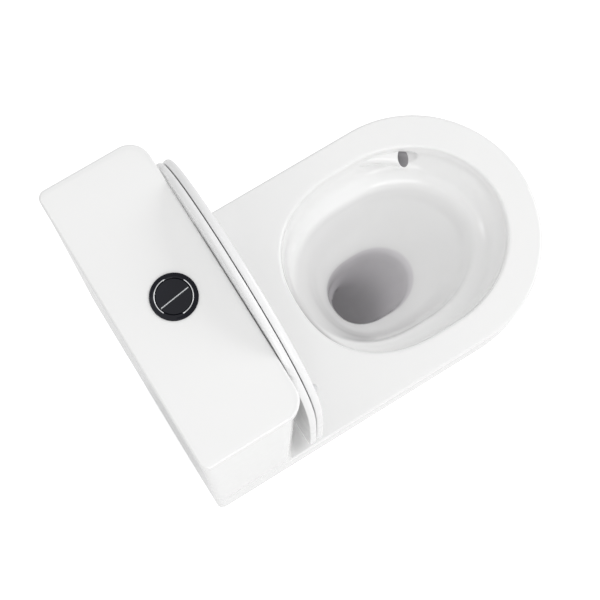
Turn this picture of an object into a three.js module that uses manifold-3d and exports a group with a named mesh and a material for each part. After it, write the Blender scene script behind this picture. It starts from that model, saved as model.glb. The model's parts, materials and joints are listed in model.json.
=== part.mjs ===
// A close coupled toilet: a skirted china pan with a china cistern bolted on its rear platform,
// a slim seat and lid on soft-close hinges, and the dual flush and filling valves inside the cistern.
// Millimetres. +Z is up, +Y is towards the wall, +X is the pan's flush duct side. The origin is on the
// floor, at the centre of the overall width and depth. The seat and the lid are modelled raised.
import * as THREE from 'three';
import { mergeVertices } from 'three/addons/utils/BufferGeometryUtils.js';
import Module from 'manifold-3d';

const wasm = await Module();
wasm.setup();

// ---- Driving dimensions. "Depth" is measured forward from the wall. ----
const overallDepth = 634.5;
const panWidth = 370;
const rimHeight = 400;
const fitGap = 0.3;             // between pieces that touch

// pan: skirt
const panBackDepth = 1;
const footBackDepth = 14;
const noseLength = 182.5;
const skirtStraight = 66;       // upright band under the rim
const footHalfWidth = 142;
const footTipDepth = 474;
const footNoseLength = 122;
const footHeight = 62;          // upright band at the floor
const skirtWall = 11;
const rimThickness = 12;
const panBackRadius = 9;
const rimEdgeFillet = 5;

// pan: bowl
const bowlHalfWidth = 140;
const bowlRearDepth = 247;
const bowlRearMidDepth = 401;
const bowlFrontMidDepth = 429;
const bowlFrontDepth = 585;
const bowlRearPower = 2.3;
const bowlWall = 10;
const shelfDrop = 54;           // the rimless shelf, below the rim
const sumpDrop = 172;           // the edge of the sump, below the rim
const sumpHalfWidth = 53;
const sumpRearDepth = 314;
const sumpFrontDepth = 455;

// pan: trap, flush duct and outlet
const trapRadius = 39;
const trapWall = 9;
const trapDrop = 110;           // the trap's lowest run, below the edge of the sump
const weirHeight = 214;
const outletHeight = 184;
const outletEndDepth = 62;
const rearOpeningHalfWidth = 82;
const rearOpeningHeight = 262;
const ductRadius = 11.5;
const ductWall = 7;
const ductDrop = 27;            // duct outlet centre, below the rim
const ductOutletDepth = 511;
const inletChamberRadius = 41;
const inletChamberWall = 9;
const inletChamberFloorDrop = 50;

// pan: cistern platform
const platformRise = 28.5;
const platformSlab = 14;
const gasketRecessRadius = 57;
const gasketRecessDepth = 26;

// cistern
const cisternHeight = 380;
const cisternBackDepth = 1;
const cisternFrontDepth = 130.5;
const frontBow = 2.5;
const cisternBackRadius = 10;
const cisternFrontRadius = 26;
const cisternWall = 10;
const cisternFloor = 12;

// cistern lid
const lidSkirtHeight = 20;
const lidOverhang = 1;
const lidTopThickness = 9;
const lidTopFillet = 5;
const lidLipDrop = 9;
const lidLipClearance = 1.5;
const lidLipThickness = 6;

// flush button, over the flush valve
const buttonDepth = 73;
const bezelRadius = 27.9;
const bezelRise = 3;
const buttonRadius = 21;
const buttonThickness = 9;
const buttonGap = 0.4;
const buttonSplitWidth = 0.9;
const buttonSplitOffset = 2;
const buttonSplitTurn = 8;      // degrees
const sleeveWall = 2.4;
const sleeveLength = 30;
const sleeveFloor = 3;
const lockNutRadius = 33;
const lockNutThickness = 6;
const pressTravel = 6;

// flush valve
const valveHoleRadius = 32.5;
const valveShankRadius = 31;
const valveBoreRadius = 26;
const valveShankDrop = 44;
const valveFlangeRadius = 41;
const valveFlangeThickness = 4;
const valveWasherThickness = 3;
const valveCageRadius = 37;
const valveCageWall = 3;
const valveCageHeight = 118;
const valveWindowWidth = 34;
const valveSeatRise = 4;
const overflowRadius = 13;
const overflowWall = 2;
const overflowLength = 250;
const coreDiscRadius = 30;
const coreDiscThickness = 4;
const sealThickness = 3;
const valveLift = 12;
const headRadius = 29;
const headHeight = 26;
const headColumnRadius = 4;
const rodRadius = 2.5;
const rodWellRadius = 4.5;
const rodWellDepth = 16;
const rodEngagement = 5;
const fullRodX = 10;
const halfRodX = -12;
const valveNutThickness = 10;
const valveNutRadius = 44;
const gasketHoleRadius = 46;

// close coupling bolts
const boltSpacing = 152;
const boltRadius = 4;
const boltHoleRadius = 6;
const boltHeadRadius = 9;
const boltHeadThickness = 6;
const boltLength = 74;
const rubberWasherRadius = 14;
const rubberWasherThickness = 3;
const steelWasherRadius = 12;
const steelWasherThickness = 2;
const wingNutRadius = 8;
const wingNutThickness = 9;
const wingReach = 17;

// fill valve
const fillValveX = -125;
const fillValveDepth = 67;
const fillHoleRadius = 11.5;
const fillShankRadius = 10.4;
const fillBoreRadius = 6.5;
const fillShankDrop = 42;
const fillFlangeRadius = 16;
const fillFlangeThickness = 4;
const fillWasherThickness = 2;
const fillNutRadius = 17;
const fillNutThickness = 8;
const fillNutClearance = 5;
const riserRadius = 9;
const riserLength = 292;
const fillHeadRadius = 18;
const fillHeadHeight = 30;
const armLength = 44;
const armWidth = 9;
const armHeight = 8;
const armPinRadius = 2;
const earThickness = 4;
const earGap = 0.6;
const floatRadius = 17;
const floatHeight = 40;
const floatDrop = 26;
const floatRodRadius = 2.5;

// seat and lid
const hingeDepth = 166;
const hingeRise = 14;
const hingeSpacing = 155;
const raiseAngle = 92.2;        // degrees, closed to raised
const coverHalfWidth = 182;
const coverLength = 460;        // hinge axis to the front edge
const coverNoseLength = 182;
const coverThickness = 9.5;
const coverSeatGap = 1.2;
const coverRearReach = 8;
const seatThickness = 9.5;
const seatRimGap = 7;
const seatRearReach = 2.5;
const seatInset = 1;
const seatHoleHalfWidth = 112;
const seatHoleRearDepth = 268;
const seatHoleFrontDepth = 546;
const seatHoleMidDepth = 420;
const edgeRounding = 3;
const cornerRadius = 16;

// hinges
const knuckleRadius = 7.7;
const barrelRadius = 7;
const barrelLength = 15;
const knuckleGap = 0.5;
const seatKnuckleLength = 28;
const coverKnuckleLength = 28;
const notchClearance = 1.2;
const hingePinRadius = 3;
const hingePinBite = 8;
const damperRadius = 5;
const damperLength = 18;
const damperWall = 2.4;
const hingeBaseRadius = 6.8;
const hingeStudRadius = 4;
const hingeHoleRadius = 6;
const hingeStudDrop = 30;
const hingeNutRadius = 11;
const hingeNutThickness = 9;
const hingeWasherRadius = 12.5;
const hingeWasherThickness = 2;

// buffers
const seatBufferLength = 26;
const bufferWidth = 9;
const seatBufferGap = 0.4;
const frontBufferDepth = 473;
const rearBufferDepth = 292;
const coverBufferDepth = 505;
const bufferRecess = 1.5;

// floor fixing
const bracketDepth = 215;
const bracketWidth = 34;
const bracketReach = 40;
const bracketHeight = 46;
const bracketPlate = 6;
const fixingHeight = 32;
const sideScrewRadius = 2.6;
const sideHoleRadius = 5.5;
const sideScrewLength = 34;
const sideScrewHeadRadius = 4.8;
const floorScrewRadius = 3;
const floorScrewHeadRadius = 6;
const floorScrewHeadThickness = 3;
const capRadius = 10;
const capThickness = 2.6;

// ---- Places worked out from the sizes ----
const wallY = overallDepth / 2;
const depthShare = overallDepth / 634.5;
const widthShare = panWidth / 370;
const platformTop = rimHeight + platformRise;
const cisternBase = platformTop + fitGap;
const cisternInside = cisternBase + cisternFloor;
const cisternTop = cisternBase + cisternHeight;
const lidBase = cisternTop + fitGap;
const lidTop = lidBase + lidSkirtHeight;
const panHalfWidth = panWidth / 2;
const hingeHeight = rimHeight + hingeRise;
const hingeY = wallY - hingeDepth;
const hingeX = hingeSpacing / 2;
const valveY = wallY - buttonDepth;
const fillY = wallY - fillValveDepth;
const seatBottom = seatRimGap - hingeRise;      // measured from the hinge axis, with the seat lowered
const seatTop = seatBottom + seatThickness;
const coverBottom = seatTop + coverSeatGap;
const coverTop = coverBottom + coverThickness;

// ---- Materials ----
function finish(color, roughness, metalness = 0) {
  return new THREE.MeshStandardMaterial({ color, roughness, metalness });
}
const china = finish(0xf0f0ee, 0.08);
const gloss = finish(0xf3f3f2, 0.18);
const darkChrome = finish(0x16181f, 0.08, 0.6);
const chrome = finish(0xd6d8da, 0.12, 1);
const steel = finish(0xb8babc, 0.35, 1);
const brass = finish(0xc5a459, 0.35, 1);
const rubber = finish(0x2a2a2b, 0.85);
const clearBuffer = finish(0xdfe2e0, 0.5);
const whitePlastic = finish(0xe9ebec, 0.45);
const bluePlastic = finish(0x3f79b5, 0.45);
const redPlastic = finish(0xb8433c, 0.45);
const greyPlastic = finish(0x8f9498, 0.55);

// ---- Solids ----
function solid(geometry) {
  const bare = new THREE.BufferGeometry();
  bare.setAttribute('position', geometry.getAttribute('position').clone());
  if (geometry.index) bare.setIndex(geometry.index.clone());
  const merged = mergeVertices(bare, 1e-4);
  const corners = merged.index.array;
  const kept = [];
  for (let i = 0; i < corners.length; i += 3) {
    const [a, b, c] = [corners[i], corners[i + 1], corners[i + 2]];
    if (a !== b && b !== c && a !== c) kept.push(a, b, c);
  }
  return new wasm.Manifold(new wasm.Mesh({
    numProp: 3,
    vertProperties: Float32Array.from(merged.getAttribute('position').array),
    triVerts: Uint32Array.from(kept),
  }));
}

function join(...parts) {
  return parts.reduce((whole, part) => whole.add(part));
}

function cut(body, ...tools) {
  return tools.reduce((whole, tool) => whole.subtract(tool), body);
}

// The body without the specks that booleans between curved surfaces leave.
function onePiece(body) {
  return body.decompose().sort((a, b) => b.volume() - a.volume())[0];
}

// A skin over a stack of level outlines, each { z, points }, all with the same number of points.
// The outlines are convex, so each end is closed by a fan.
function skin(levels) {
  const count = levels[0].points.length;
  const places = levels.flatMap(({ z, points }) => points.flatMap((p) => [p.x, p.y, z]));
  const index = [];
  for (let level = 0; level + 1 < levels.length; level += 1) {
    for (let i = 0; i < count; i += 1) {
      const a = level * count + i;
      const b = level * count + (i + 1) % count;
      index.push(a, b, b + count, a, b + count, a + count);
    }
  }
  const last = (levels.length - 1) * count;
  for (let i = 1; i + 1 < count; i += 1) {
    index.push(0, i + 1, i);
    index.push(last, last + i, last + i + 1);
  }
  const geometry = new THREE.BufferGeometry();
  geometry.setAttribute('position', new THREE.Float32BufferAttribute(places, 3));
  geometry.setIndex(index);
  return solid(geometry);
}

function box(x0, x1, y0, y1, z0, z1) {
  const geometry = new THREE.BoxGeometry(x1 - x0, y1 - y0, z1 - z0);
  geometry.translate((x0 + x1) / 2, (y0 + y1) / 2, (z0 + z1) / 2);
  return solid(geometry);
}

function post(x, y, radius, z0, z1, sides = 20) {
  const geometry = new THREE.CylinderGeometry(radius, radius, z1 - z0, sides);
  geometry.rotateX(Math.PI / 2);
  geometry.translate(x, y, (z0 + z1) / 2);
  return solid(geometry);
}

function barAlongX(x0, x1, y, z, radius, sides = 20) {
  const geometry = new THREE.CylinderGeometry(radius, radius, x1 - x0, sides);
  geometry.rotateZ(Math.PI / 2);
  geometry.translate((x0 + x1) / 2, y, z);
  return solid(geometry);
}

function barAlongY(x, y0, y1, z, radius, sides = 16) {
  const geometry = new THREE.CylinderGeometry(radius, radius, y1 - y0, sides);
  geometry.translate(x, (y0 + y1) / 2, z);
  return solid(geometry);
}

function ring(x, y, outer, inner, z0, z1, sides) {
  return cut(post(x, y, outer, z0, z1, sides), post(x, y, inner, z0 - 1, z1 + 1, sides));
}

function nut(x, y, acrossCorners, hole, z0, z1) {
  return cut(post(x, y, acrossCorners, z0, z1, 6), post(x, y, hole, z0 - 1, z1 + 1, 28));
}

// A bar of round section along a curve through the given [x, depth, z] places.
function pipe(places, radius, sides, steps) {
  const route = new THREE.CatmullRomCurve3(
    places.map(([x, depth, z]) => new THREE.Vector3(x, wallY - depth, z)),
    false,
    'centripetal',
  );
  const section = new THREE.Shape();
  for (let i = 0; i < sides; i += 1) {
    const turn = (2 * Math.PI * i) / sides;
    const [x, y] = [radius * Math.cos(turn), radius * Math.sin(turn)];
    if (i === 0) section.moveTo(x, y);
    else section.lineTo(x, y);
  }
  section.closePath();
  return solid(new THREE.ExtrudeGeometry(section, { steps, extrudePath: route, curveSegments: 1 }));
}

// ---- Outlines ----
function arc(points, x, y, radius, from, to, steps) {
  for (let i = 0; i <= steps; i += 1) {
    const turn = THREE.MathUtils.degToRad(from + ((to - from) * i) / steps);
    points.push(new THREE.Vector2(x + radius * Math.cos(turn), y + radius * Math.sin(turn)));
  }
}

// A straight-sided plan with two small rear corners and a half-elliptical front, anticlockwise.
function noseOutline({ half, back, tip, nose, corner, steps }) {
  const points = [];
  const rearY = wallY - back;
  const noseY = wallY - tip + nose;
  arc(points, half - corner, rearY - corner, corner, 0, 90, 3);
  arc(points, corner - half, rearY - corner, corner, 90, 180, 3);
  for (let i = 0; i <= steps; i += 1) {
    const turn = Math.PI + (Math.PI * i) / steps;
    points.push(new THREE.Vector2(half * Math.cos(turn), noseY + nose * Math.sin(turn)));
  }
  return points;
}

// An egg-shaped plan: half a superellipse behind, two short straights, half an ellipse in front.
function eggOutline({ half, rear, rearMid, frontMid, front, steps = 24 }) {
  const points = [];
  const share = 2 / bowlRearPower;
  for (let i = 0; i <= steps; i += 1) {
    const turn = (Math.PI * i) / steps;
    const side = Math.sign(Math.cos(turn)) * Math.abs(Math.cos(turn)) ** share;
    const depth = rearMid - (rearMid - rear) * Math.sin(turn) ** share;
    points.push(new THREE.Vector2(half * (Math.abs(side) < 1e-9 ? 0 : side), wallY - depth));
  }
  for (let i = 0; i <= steps; i += 1) {
    const turn = Math.PI + (Math.PI * i) / steps;
    const depth = frontMid - (front - frontMid) * Math.sin(turn);
    points.push(new THREE.Vector2(half * Math.cos(turn), wallY - depth));
  }
  return points;
}

// The cistern's plan: a box with small rear corners, large front corners and a slightly bowed front.
function cisternOutline(inset) {
  const points = [];
  const half = panHalfWidth - inset;
  const rearY = wallY - cisternBackDepth - inset;
  const frontY = wallY - cisternFrontDepth + inset;
  const rear = Math.max(cisternBackRadius - inset, 1);
  const front = Math.max(cisternFrontRadius - inset, 1);
  const bowSteps = 6;
  arc(points, half - rear, rearY - rear, rear, 0, 90, 3);
  arc(points, rear - half, rearY - rear, rear, 90, 180, 3);
  arc(points, front - half, frontY + front, front, 180, 264, 6);
  const reach = half - front;
  for (let i = 1; i < bowSteps; i += 1) {
    const x = reach * ((2 * i) / bowSteps - 1);
    points.push(new THREE.Vector2(x, frontY - frontBow * (1 - (x / reach) ** 2)));
  }
  arc(points, half - front, frontY + front, front, 276, 360, 6);
  return points;
}

function prism(points, z0, z1) {
  return skin([{ z: z0, points }, { z: z1, points }]);
}

// ---- Pan ----
const foot = {
  half: footHalfWidth, back: footBackDepth, tip: footTipDepth, nose: footNoseLength,
};
const rim = {
  half: panHalfWidth, back: panBackDepth, tip: overallDepth, nose: noseLength,
};

// The skirt at a height: upright under the rim and at the foot, with an S-shaped run between them.
function skirtAt(height, inset, steps) {
  const top = rimHeight - skirtStraight;
  const share = THREE.MathUtils.clamp((height - footHeight) / (top - footHeight), 0, 1);
  const swell = share ** 1.15 * (1 + 0.75 * share * (1 - share));
  const mix = (low, high) => low + (high - low) * swell;
  return noseOutline({
    half: mix(foot.half, rim.half) - inset,
    back: mix(foot.back, rim.back) + inset,
    tip: mix(foot.tip, rim.tip) - inset,
    nose: mix(foot.nose, rim.nose) - inset,
    corner: Math.max(panBackRadius - inset, 1),
    steps,
  });
}

function skirtLevels(z0, z1, inset, steps, bends) {
  const top = rimHeight - skirtStraight;
  const heights = [z0];
  for (let i = 0; i <= bends; i += 1) heights.push(footHeight + ((top - footHeight) * i) / bends);
  heights.push(z1);
  return heights.map((z) => ({ z, points: skirtAt(z, inset, steps) }));
}

// The bowl at a drop below the rim. Each row gives the drop, the half width and the rear and front depths.
function bowlRows() {
  const shelfHalf = bowlHalfWidth - 10;
  return [
    { drop: -2, half: bowlHalfWidth + 5, rear: bowlRearDepth - 5, front: bowlFrontDepth + 5 },
    { drop: 0, half: bowlHalfWidth + 4, rear: bowlRearDepth - 4, front: bowlFrontDepth + 4 },
    { drop: 2, half: bowlHalfWidth + 1, rear: bowlRearDepth - 1, front: bowlFrontDepth + 1 },
    { drop: 6, half: bowlHalfWidth, rear: bowlRearDepth, front: bowlFrontDepth },
    { drop: 26, half: bowlHalfWidth - 2, rear: bowlRearDepth + 3, front: bowlFrontDepth - 5 },
    { drop: shelfDrop - 8, half: shelfHalf, rear: bowlRearDepth + 8, front: bowlFrontDepth - 15 },
    { drop: shelfDrop, half: shelfHalf - 9, rear: bowlRearDepth + 13, front: bowlFrontDepth - 27 },
    { drop: shelfDrop + 4, half: shelfHalf - 19, rear: bowlRearDepth + 18, front: bowlFrontDepth - 38 },
    { drop: shelfDrop + 16, half: shelfHalf - 25, rear: bowlRearDepth + 23, front: bowlFrontDepth - 46 },
    { drop: sumpDrop * 0.58, half: shelfHalf - 34, rear: bowlRearDepth + 35, front: bowlFrontDepth - 60 },
    { drop: sumpDrop * 0.76, half: shelfHalf - 48, rear: bowlRearDepth + 49, front: bowlFrontDepth - 82 },
    { drop: sumpDrop * 0.9, half: sumpHalfWidth + 13, rear: sumpRearDepth - 8, front: sumpFrontDepth + 22 },
    { drop: sumpDrop, half: sumpHalfWidth, rear: sumpRearDepth, front: sumpFrontDepth },
    { drop: sumpDrop + 28, half: sumpHalfWidth - 5, rear: sumpRearDepth + 3, front: sumpFrontDepth - 10 },
    { drop: sumpDrop + 62, half: sumpHalfWidth - 9, rear: sumpRearDepth - 1, front: sumpFrontDepth - 26 },
    { drop: sumpDrop + 90, half: sumpHalfWidth - 17, rear: sumpRearDepth + 6, front: sumpFrontDepth - 52 },
  ];
}

function bowlSkin(wall, steps) {
  const rows = bowlRows().filter((row) => wall === 0 || row.drop >= 6);
  const levels = rows.map((row, i) => {
    const rear = row.rear - wall;
    const front = row.front + wall;
    const length = front - rear;
    const rimLength = bowlFrontDepth - bowlRearDepth;
    const rearMid = rear + (length * (bowlRearMidDepth - bowlRearDepth)) / rimLength;
    const frontMid = rear + (length * (bowlFrontMidDepth - bowlRearDepth)) / rimLength;
    const deeper = wall > 0 && i === rows.length - 1 ? wall : 0;
    return {
      z: rimHeight - row.drop - deeper,
      points: eggOutline({ half: row.half + wall, rear, rearMid, frontMid, front, steps }),
    };
  });
  if (wall > 0) levels.unshift({ z: rimHeight - 1, points: levels[0].points });
  return skin(levels.reverse());
}

// The trap's and the duct's routes are drawn for the usual size and grow with the pan.
function trapRoute(endDepth) {
  const dip = rimHeight - sumpDrop - trapDrop;
  const places = [
    [374, dip + 62],
    [364, dip + 26],
    [336, dip - 6],
    [294, dip - 8],
    [262, dip + 20],
    [240, weirHeight - 50],
    [212, weirHeight - 12],
    [168, weirHeight],
    [122, outletHeight + 10],
    [90, outletHeight],
  ];
  const route = places.map(([depth, z]) => [0, depth * depthShare, z]);
  return [...route, [0, endDepth, outletHeight]];
}

function ductRoute() {
  const z = rimHeight - ductDrop;
  const places = [
    [0, buttonDepth + 16, z - 2],
    [4, 124, z - 2],
    [30, 168, z - 3],
    [72, 206, z - 4],
    [116, 248, z - 3],
    [147, 300, z - 1],
    [157, 352, z],
    [157, 402, z],
    [149, 448, z],
    [133, 484, z],
    [113, ductOutletDepth, z - 1],
  ];
  return places.map(([x, depth, height]) => [x * widthShare, depth, height]);
}

function makePan() {
  const chamberTop = platformTop - gasketRecessDepth;
  const chamberBottom = rimHeight - inletChamberFloorDrop;
  const edge = (inset) => noseOutline({
    half: rim.half - inset,
    back: rim.back + inset,
    tip: rim.tip - inset,
    nose: rim.nose - inset,
    corner: Math.max(panBackRadius - inset, 1),
    steps: 24,
  });
  const levels = skirtLevels(0, rimHeight - rimEdgeFillet, 0, 24, 5);
  levels.push({ z: rimHeight - rimEdgeFillet * 0.38, points: edge(rimEdgeFillet * 0.22) });
  levels.push({ z: rimHeight, points: edge(rimEdgeFillet) });
  const platform = prism(cisternOutline(0), rimHeight - rimEdgeFillet - 1, platformTop);
  const outside = join(skin(levels), platform);

  const underRim = rimHeight - rimThickness;
  const underPlatform = platformTop - platformSlab;
  const hollow = join(
    skin(skirtLevels(-1, underRim, skirtWall, 12, 3)),
    prism(cisternOutline(skirtWall), underRim - 1, underPlatform),
  );
  const chamber = post(0, valveY, inletChamberRadius + inletChamberWall,
    chamberBottom - inletChamberWall, underPlatform + 1, 28);
  const recessWall = post(0, valveY, gasketRecessRadius + 6,
    chamberTop - inletChamberWall, underPlatform + 1, 32);
  const trapOuter = pipe(trapRoute(outletEndDepth), trapRadius + trapWall, 12, 12);
  const ductOuter = pipe(ductRoute(), ductRadius + ductWall, 8, 11);
  const empty = cut(hollow, bowlSkin(bowlWall, 8), trapOuter, ductOuter, chamber, recessWall);
  const rearOpening = box(-rearOpeningHalfWidth, rearOpeningHalfWidth,
    wallY - footBackDepth - skirtWall - 12, wallY + 1, -1, rearOpeningHeight);
  const opened = join(cut(outside, empty, rearOpening, bowlSkin(0, 14)), ductOuter);
  const trapInner = pipe(trapRoute(outletEndDepth - 4), trapRadius, 12, 12);
  const ductInner = pipe(
    [...ductRoute(), [106 * widthShare, ductOutletDepth + 7, rimHeight - ductDrop - 1.4]], ductRadius, 8, 12);
  const chamberInner = post(0, valveY, inletChamberRadius, chamberBottom, chamberTop + 1, 32);
  const recess = post(0, valveY, gasketRecessRadius, chamberTop, platformTop + 1, 32);
  const bolts = [-1, 1].map((side) => post((side * boltSpacing) / 2, valveY, boltHoleRadius,
    underPlatform - 2, platformTop + 1));
  const fillHole = post(fillValveX, fillY, fillNutRadius + fillNutClearance,
    underPlatform - 2, platformTop + 1);
  const hingeHoles = [-1, 1].map((side) => post(side * hingeX, hingeY, hingeHoleRadius,
    underRim - 2, rimHeight + 1));
  const sideHoles = barAlongX(-panHalfWidth, panHalfWidth, wallY - bracketDepth, fixingHeight,
    sideHoleRadius);
  return onePiece(cut(opened, trapInner, ductInner, chamberInner, recess, fillHole, ...bolts,
    ...hingeHoles, sideHoles));
}

// ---- Cistern ----
function makeCistern() {
  const body = prism(cisternOutline(0), cisternBase, cisternTop);
  const inside = prism(cisternOutline(cisternWall), cisternInside, cisternTop + 1);
  const holes = [
    post(0, valveY, valveHoleRadius, cisternBase - 1, cisternInside + 1, 36),
    post(fillValveX, fillY, fillHoleRadius, cisternBase - 1, cisternInside + 1),
    ...[-1, 1].map((side) => post((side * boltSpacing) / 2, valveY, boltHoleRadius,
      cisternBase - 1, cisternInside + 1)),
  ];
  return cut(body, inside, ...holes);
}

function makeCisternLid() {
  const shoulder = lidTop - lidTopFillet;
  const levels = [
    { z: lidBase, points: cisternOutline(-lidOverhang) },
    { z: shoulder, points: cisternOutline(-lidOverhang) },
  ];
  for (const turn of [30, 60, 90]) {
    const angle = THREE.MathUtils.degToRad(turn);
    levels.push({
      z: shoulder + lidTopFillet * Math.sin(angle),
      points: cisternOutline(lidTopFillet * (1 - Math.cos(angle)) - lidOverhang),
    });
  }
  const lipInset = cisternWall + lidLipClearance;
  const lip = prism(cisternOutline(lipInset), lidBase - lidLipDrop, lidBase + 2);
  const pocket = prism(cisternOutline(lipInset + lidLipThickness), lidBase - lidLipDrop - 1,
    lidTop - lidTopThickness);
  const hole = post(0, valveY, buttonRadius + buttonGap + sleeveWall + 2 * fitGap,
    lidBase - 1, lidTop + 1, 32);
  return cut(join(skin(levels), lip), pocket, hole);
}

// ---- Flush button ----
const sleeveBore = buttonRadius + buttonGap;
const sleeveRadius = sleeveBore + sleeveWall;
const bezelTop = lidTop + bezelRise;
const sleeveBottom = lidTop - sleeveLength;
const buttonTop = bezelTop - 0.6;

function lathed(profile, x, y, segments = 40) {
  const points = profile.map(([radius, z]) => new THREE.Vector2(radius, z));
  const geometry = new THREE.LatheGeometry(points, segments);
  geometry.rotateX(Math.PI / 2);
  geometry.translate(x, y, 0);
  return solid(geometry);
}

function makeBezel() {
  const flangeBase = lidTop + fitGap;
  const shell = lathed([
    [sleeveBore, sleeveBottom],
    [sleeveRadius, sleeveBottom],
    [sleeveRadius, flangeBase],
    [bezelRadius, flangeBase],
    [bezelRadius, bezelTop - 1.4],
    [bezelRadius - 1.4, bezelTop],
    [sleeveBore + 0.8, bezelTop],
    [sleeveBore, bezelTop - 0.8],
    [sleeveBore, sleeveBottom],
  ], 0, valveY, 36);
  const floor = post(0, valveY, sleeveBore + 1, sleeveBottom, sleeveBottom + sleeveFloor, 28);
  const rodHoles = [fullRodX, halfRodX].map((x) => post(x, valveY, rodWellRadius,
    sleeveBottom - 1, sleeveBottom + sleeveFloor + 1, 12));
  return cut(join(shell, floor), ...rodHoles);
}

// One half of the divided button. side is 1 for the larger, full flush half, -1 for the half flush one.
function makeButton(side) {
  const disc = post(0, valveY, buttonRadius, buttonTop - buttonThickness, buttonTop, 36);
  const near = side * (buttonSplitWidth / 2) - buttonSplitOffset;
  const far = side * 2 * buttonRadius;
  const half = new THREE.BoxGeometry(Math.abs(far - near), 4 * buttonRadius, 3 * buttonThickness);
  half.translate((near + far) / 2, 0, buttonTop);
  half.rotateZ(THREE.MathUtils.degToRad(buttonSplitTurn));
  half.translate(0, valveY, 0);
  return disc.intersect(solid(half));
}

function makeRod(x) {
  const rodTop = buttonTop - buttonThickness - fitGap;
  return join(
    post(x, valveY, rodRadius, headTop - rodEngagement, rodTop, 12),
    post(x, valveY, rodRadius + 1.5, rodTop - 3, rodTop, 16),
  );
}

function makeLockNut() {
  const underLid = lidTop - lidTopThickness;
  return nut(0, valveY, lockNutRadius, sleeveRadius + 2 * fitGap, underLid - fitGap - lockNutThickness,
    underLid - fitGap);
}

// ---- Flush valve ----
const valveFlangeBase = cisternInside + 2 * fitGap + valveWasherThickness;
const valveFlangeTop = valveFlangeBase + valveFlangeThickness;
const valveSeatTop = valveFlangeTop + valveSeatRise;
const cageTop = valveFlangeTop + valveCageHeight;
const sealBase = valveSeatTop + fitGap;
const discBase = sealBase + sealThickness + fitGap;
const overflowTop = discBase + overflowLength;
const headBase = overflowTop + valveLift + 4;
const headTop = headBase + headHeight;

function makeValveBase() {
  const bottom = cisternBase - valveShankDrop;
  const body = lathed([
    [valveBoreRadius, bottom],
    [valveShankRadius, bottom],
    [valveShankRadius, valveFlangeBase],
    [valveFlangeRadius, valveFlangeBase],
    [valveFlangeRadius, valveFlangeTop],
    [valveCageRadius, valveFlangeTop],
    [valveCageRadius, cageTop],
    [overflowRadius + 1.5, cageTop],
    [overflowRadius + 1.5, cageTop - valveCageWall],
    [valveCageRadius - valveCageWall, cageTop - valveCageWall],
    [valveCageRadius - valveCageWall, valveFlangeTop],
    [valveBoreRadius + 2.5, valveFlangeTop],
    [valveBoreRadius + 2.5, valveSeatTop],
    [valveBoreRadius, valveSeatTop],
    [valveBoreRadius, bottom],
  ], 0, valveY, 24);
  const half = valveWindowWidth / 2;
  const windowBase = valveFlangeTop + 6;
  const windowTop = cageTop - 22;
  const reach = valveCageRadius + 2;
  const windows = [
    box(-half, half, valveY - reach, valveY - overflowRadius - 4, windowBase, windowTop),
    box(-half, half, valveY + overflowRadius + 4, valveY + reach, windowBase, windowTop),
    box(-reach, -overflowRadius - 4, valveY - half, valveY + half, windowBase, windowTop),
    box(overflowRadius + 4, reach, valveY - half, valveY + half, windowBase, windowTop),
  ];
  return cut(body, ...windows);
}

function makeValveCore() {
  const discTop = discBase + coreDiscThickness;
  const inner = overflowRadius - overflowWall;
  return lathed([
    [inner, discBase],
    [coreDiscRadius, discBase],
    [coreDiscRadius, discTop],
    [overflowRadius, discTop + 6],
    [overflowRadius, overflowTop],
    [inner, overflowTop],
    [inner, discBase],
  ], 0, valveY, 20);
}

function makeValveHead() {
  const columnY = headRadius - headColumnRadius - 0.5;
  const drum = cut(
    post(0, valveY, headRadius, headBase, headTop, 28),
    ...[fullRodX, halfRodX].map((x) => post(x, valveY, rodWellRadius, headTop - rodWellDepth,
      headTop + 1, 12)),
  );
  const columns = [-1, 1].map((side) => post(0, valveY + side * columnY, headColumnRadius,
    cageTop + fitGap, headBase + 1, 12));
  return join(drum, ...columns);
}

function makeValveSeal() {
  return ring(0, valveY, coreDiscRadius - 0.5, overflowRadius + 2, sealBase,
    sealBase + sealThickness, 20);
}

function makeValveWasher() {
  return ring(0, valveY, valveFlangeRadius, valveShankRadius + 2 * fitGap, cisternInside + fitGap,
    cisternInside + fitGap + valveWasherThickness, 24);
}

function makeValveNut() {
  const top = cisternBase - fitGap;
  return nut(0, valveY, valveNutRadius, valveShankRadius + 2 * fitGap, top - valveNutThickness,
    top);
}

// ---- Close coupling ----
function makeGasket() {
  const bottom = platformTop - gasketRecessDepth + fitGap;
  return ring(0, valveY, gasketRecessRadius - 1.5, gasketHoleRadius, bottom,
    cisternBase - fitGap, 28);
}

const boltX = boltSpacing / 2;
const boltHeadBase = cisternInside + 2 * fitGap + rubberWasherThickness;
const platformUnderside = platformTop - platformSlab;
const steelWasherTop = platformUnderside - fitGap;
const wingNutTop = steelWasherTop - steelWasherThickness - fitGap;

function makeBolt(x) {
  return join(
    post(x, valveY, boltHeadRadius, boltHeadBase, boltHeadBase + boltHeadThickness, 6),
    post(x, valveY, boltRadius, boltHeadBase - boltLength, boltHeadBase + 1, 16),
  );
}

function makeRubberWasher(x) {
  return ring(x, valveY, rubberWasherRadius, boltRadius + fitGap, cisternInside + fitGap,
    cisternInside + fitGap + rubberWasherThickness, 16);
}

function makeSteelWasher(x) {
  return ring(x, valveY, steelWasherRadius, boltRadius + fitGap,
    steelWasherTop - steelWasherThickness, steelWasherTop, 16);
}

function makeWingNut(x) {
  const wings = box(x - 1.5, x + 1.5, valveY - wingReach, valveY + wingReach,
    wingNutTop - wingNutThickness - 3, wingNutTop - 3);
  return cut(
    join(post(x, valveY, wingNutRadius, wingNutTop - wingNutThickness, wingNutTop, 16), wings),
    post(x, valveY, boltRadius + fitGap, wingNutTop - wingNutThickness - 5, wingNutTop + 1, 12),
  );
}

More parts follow.
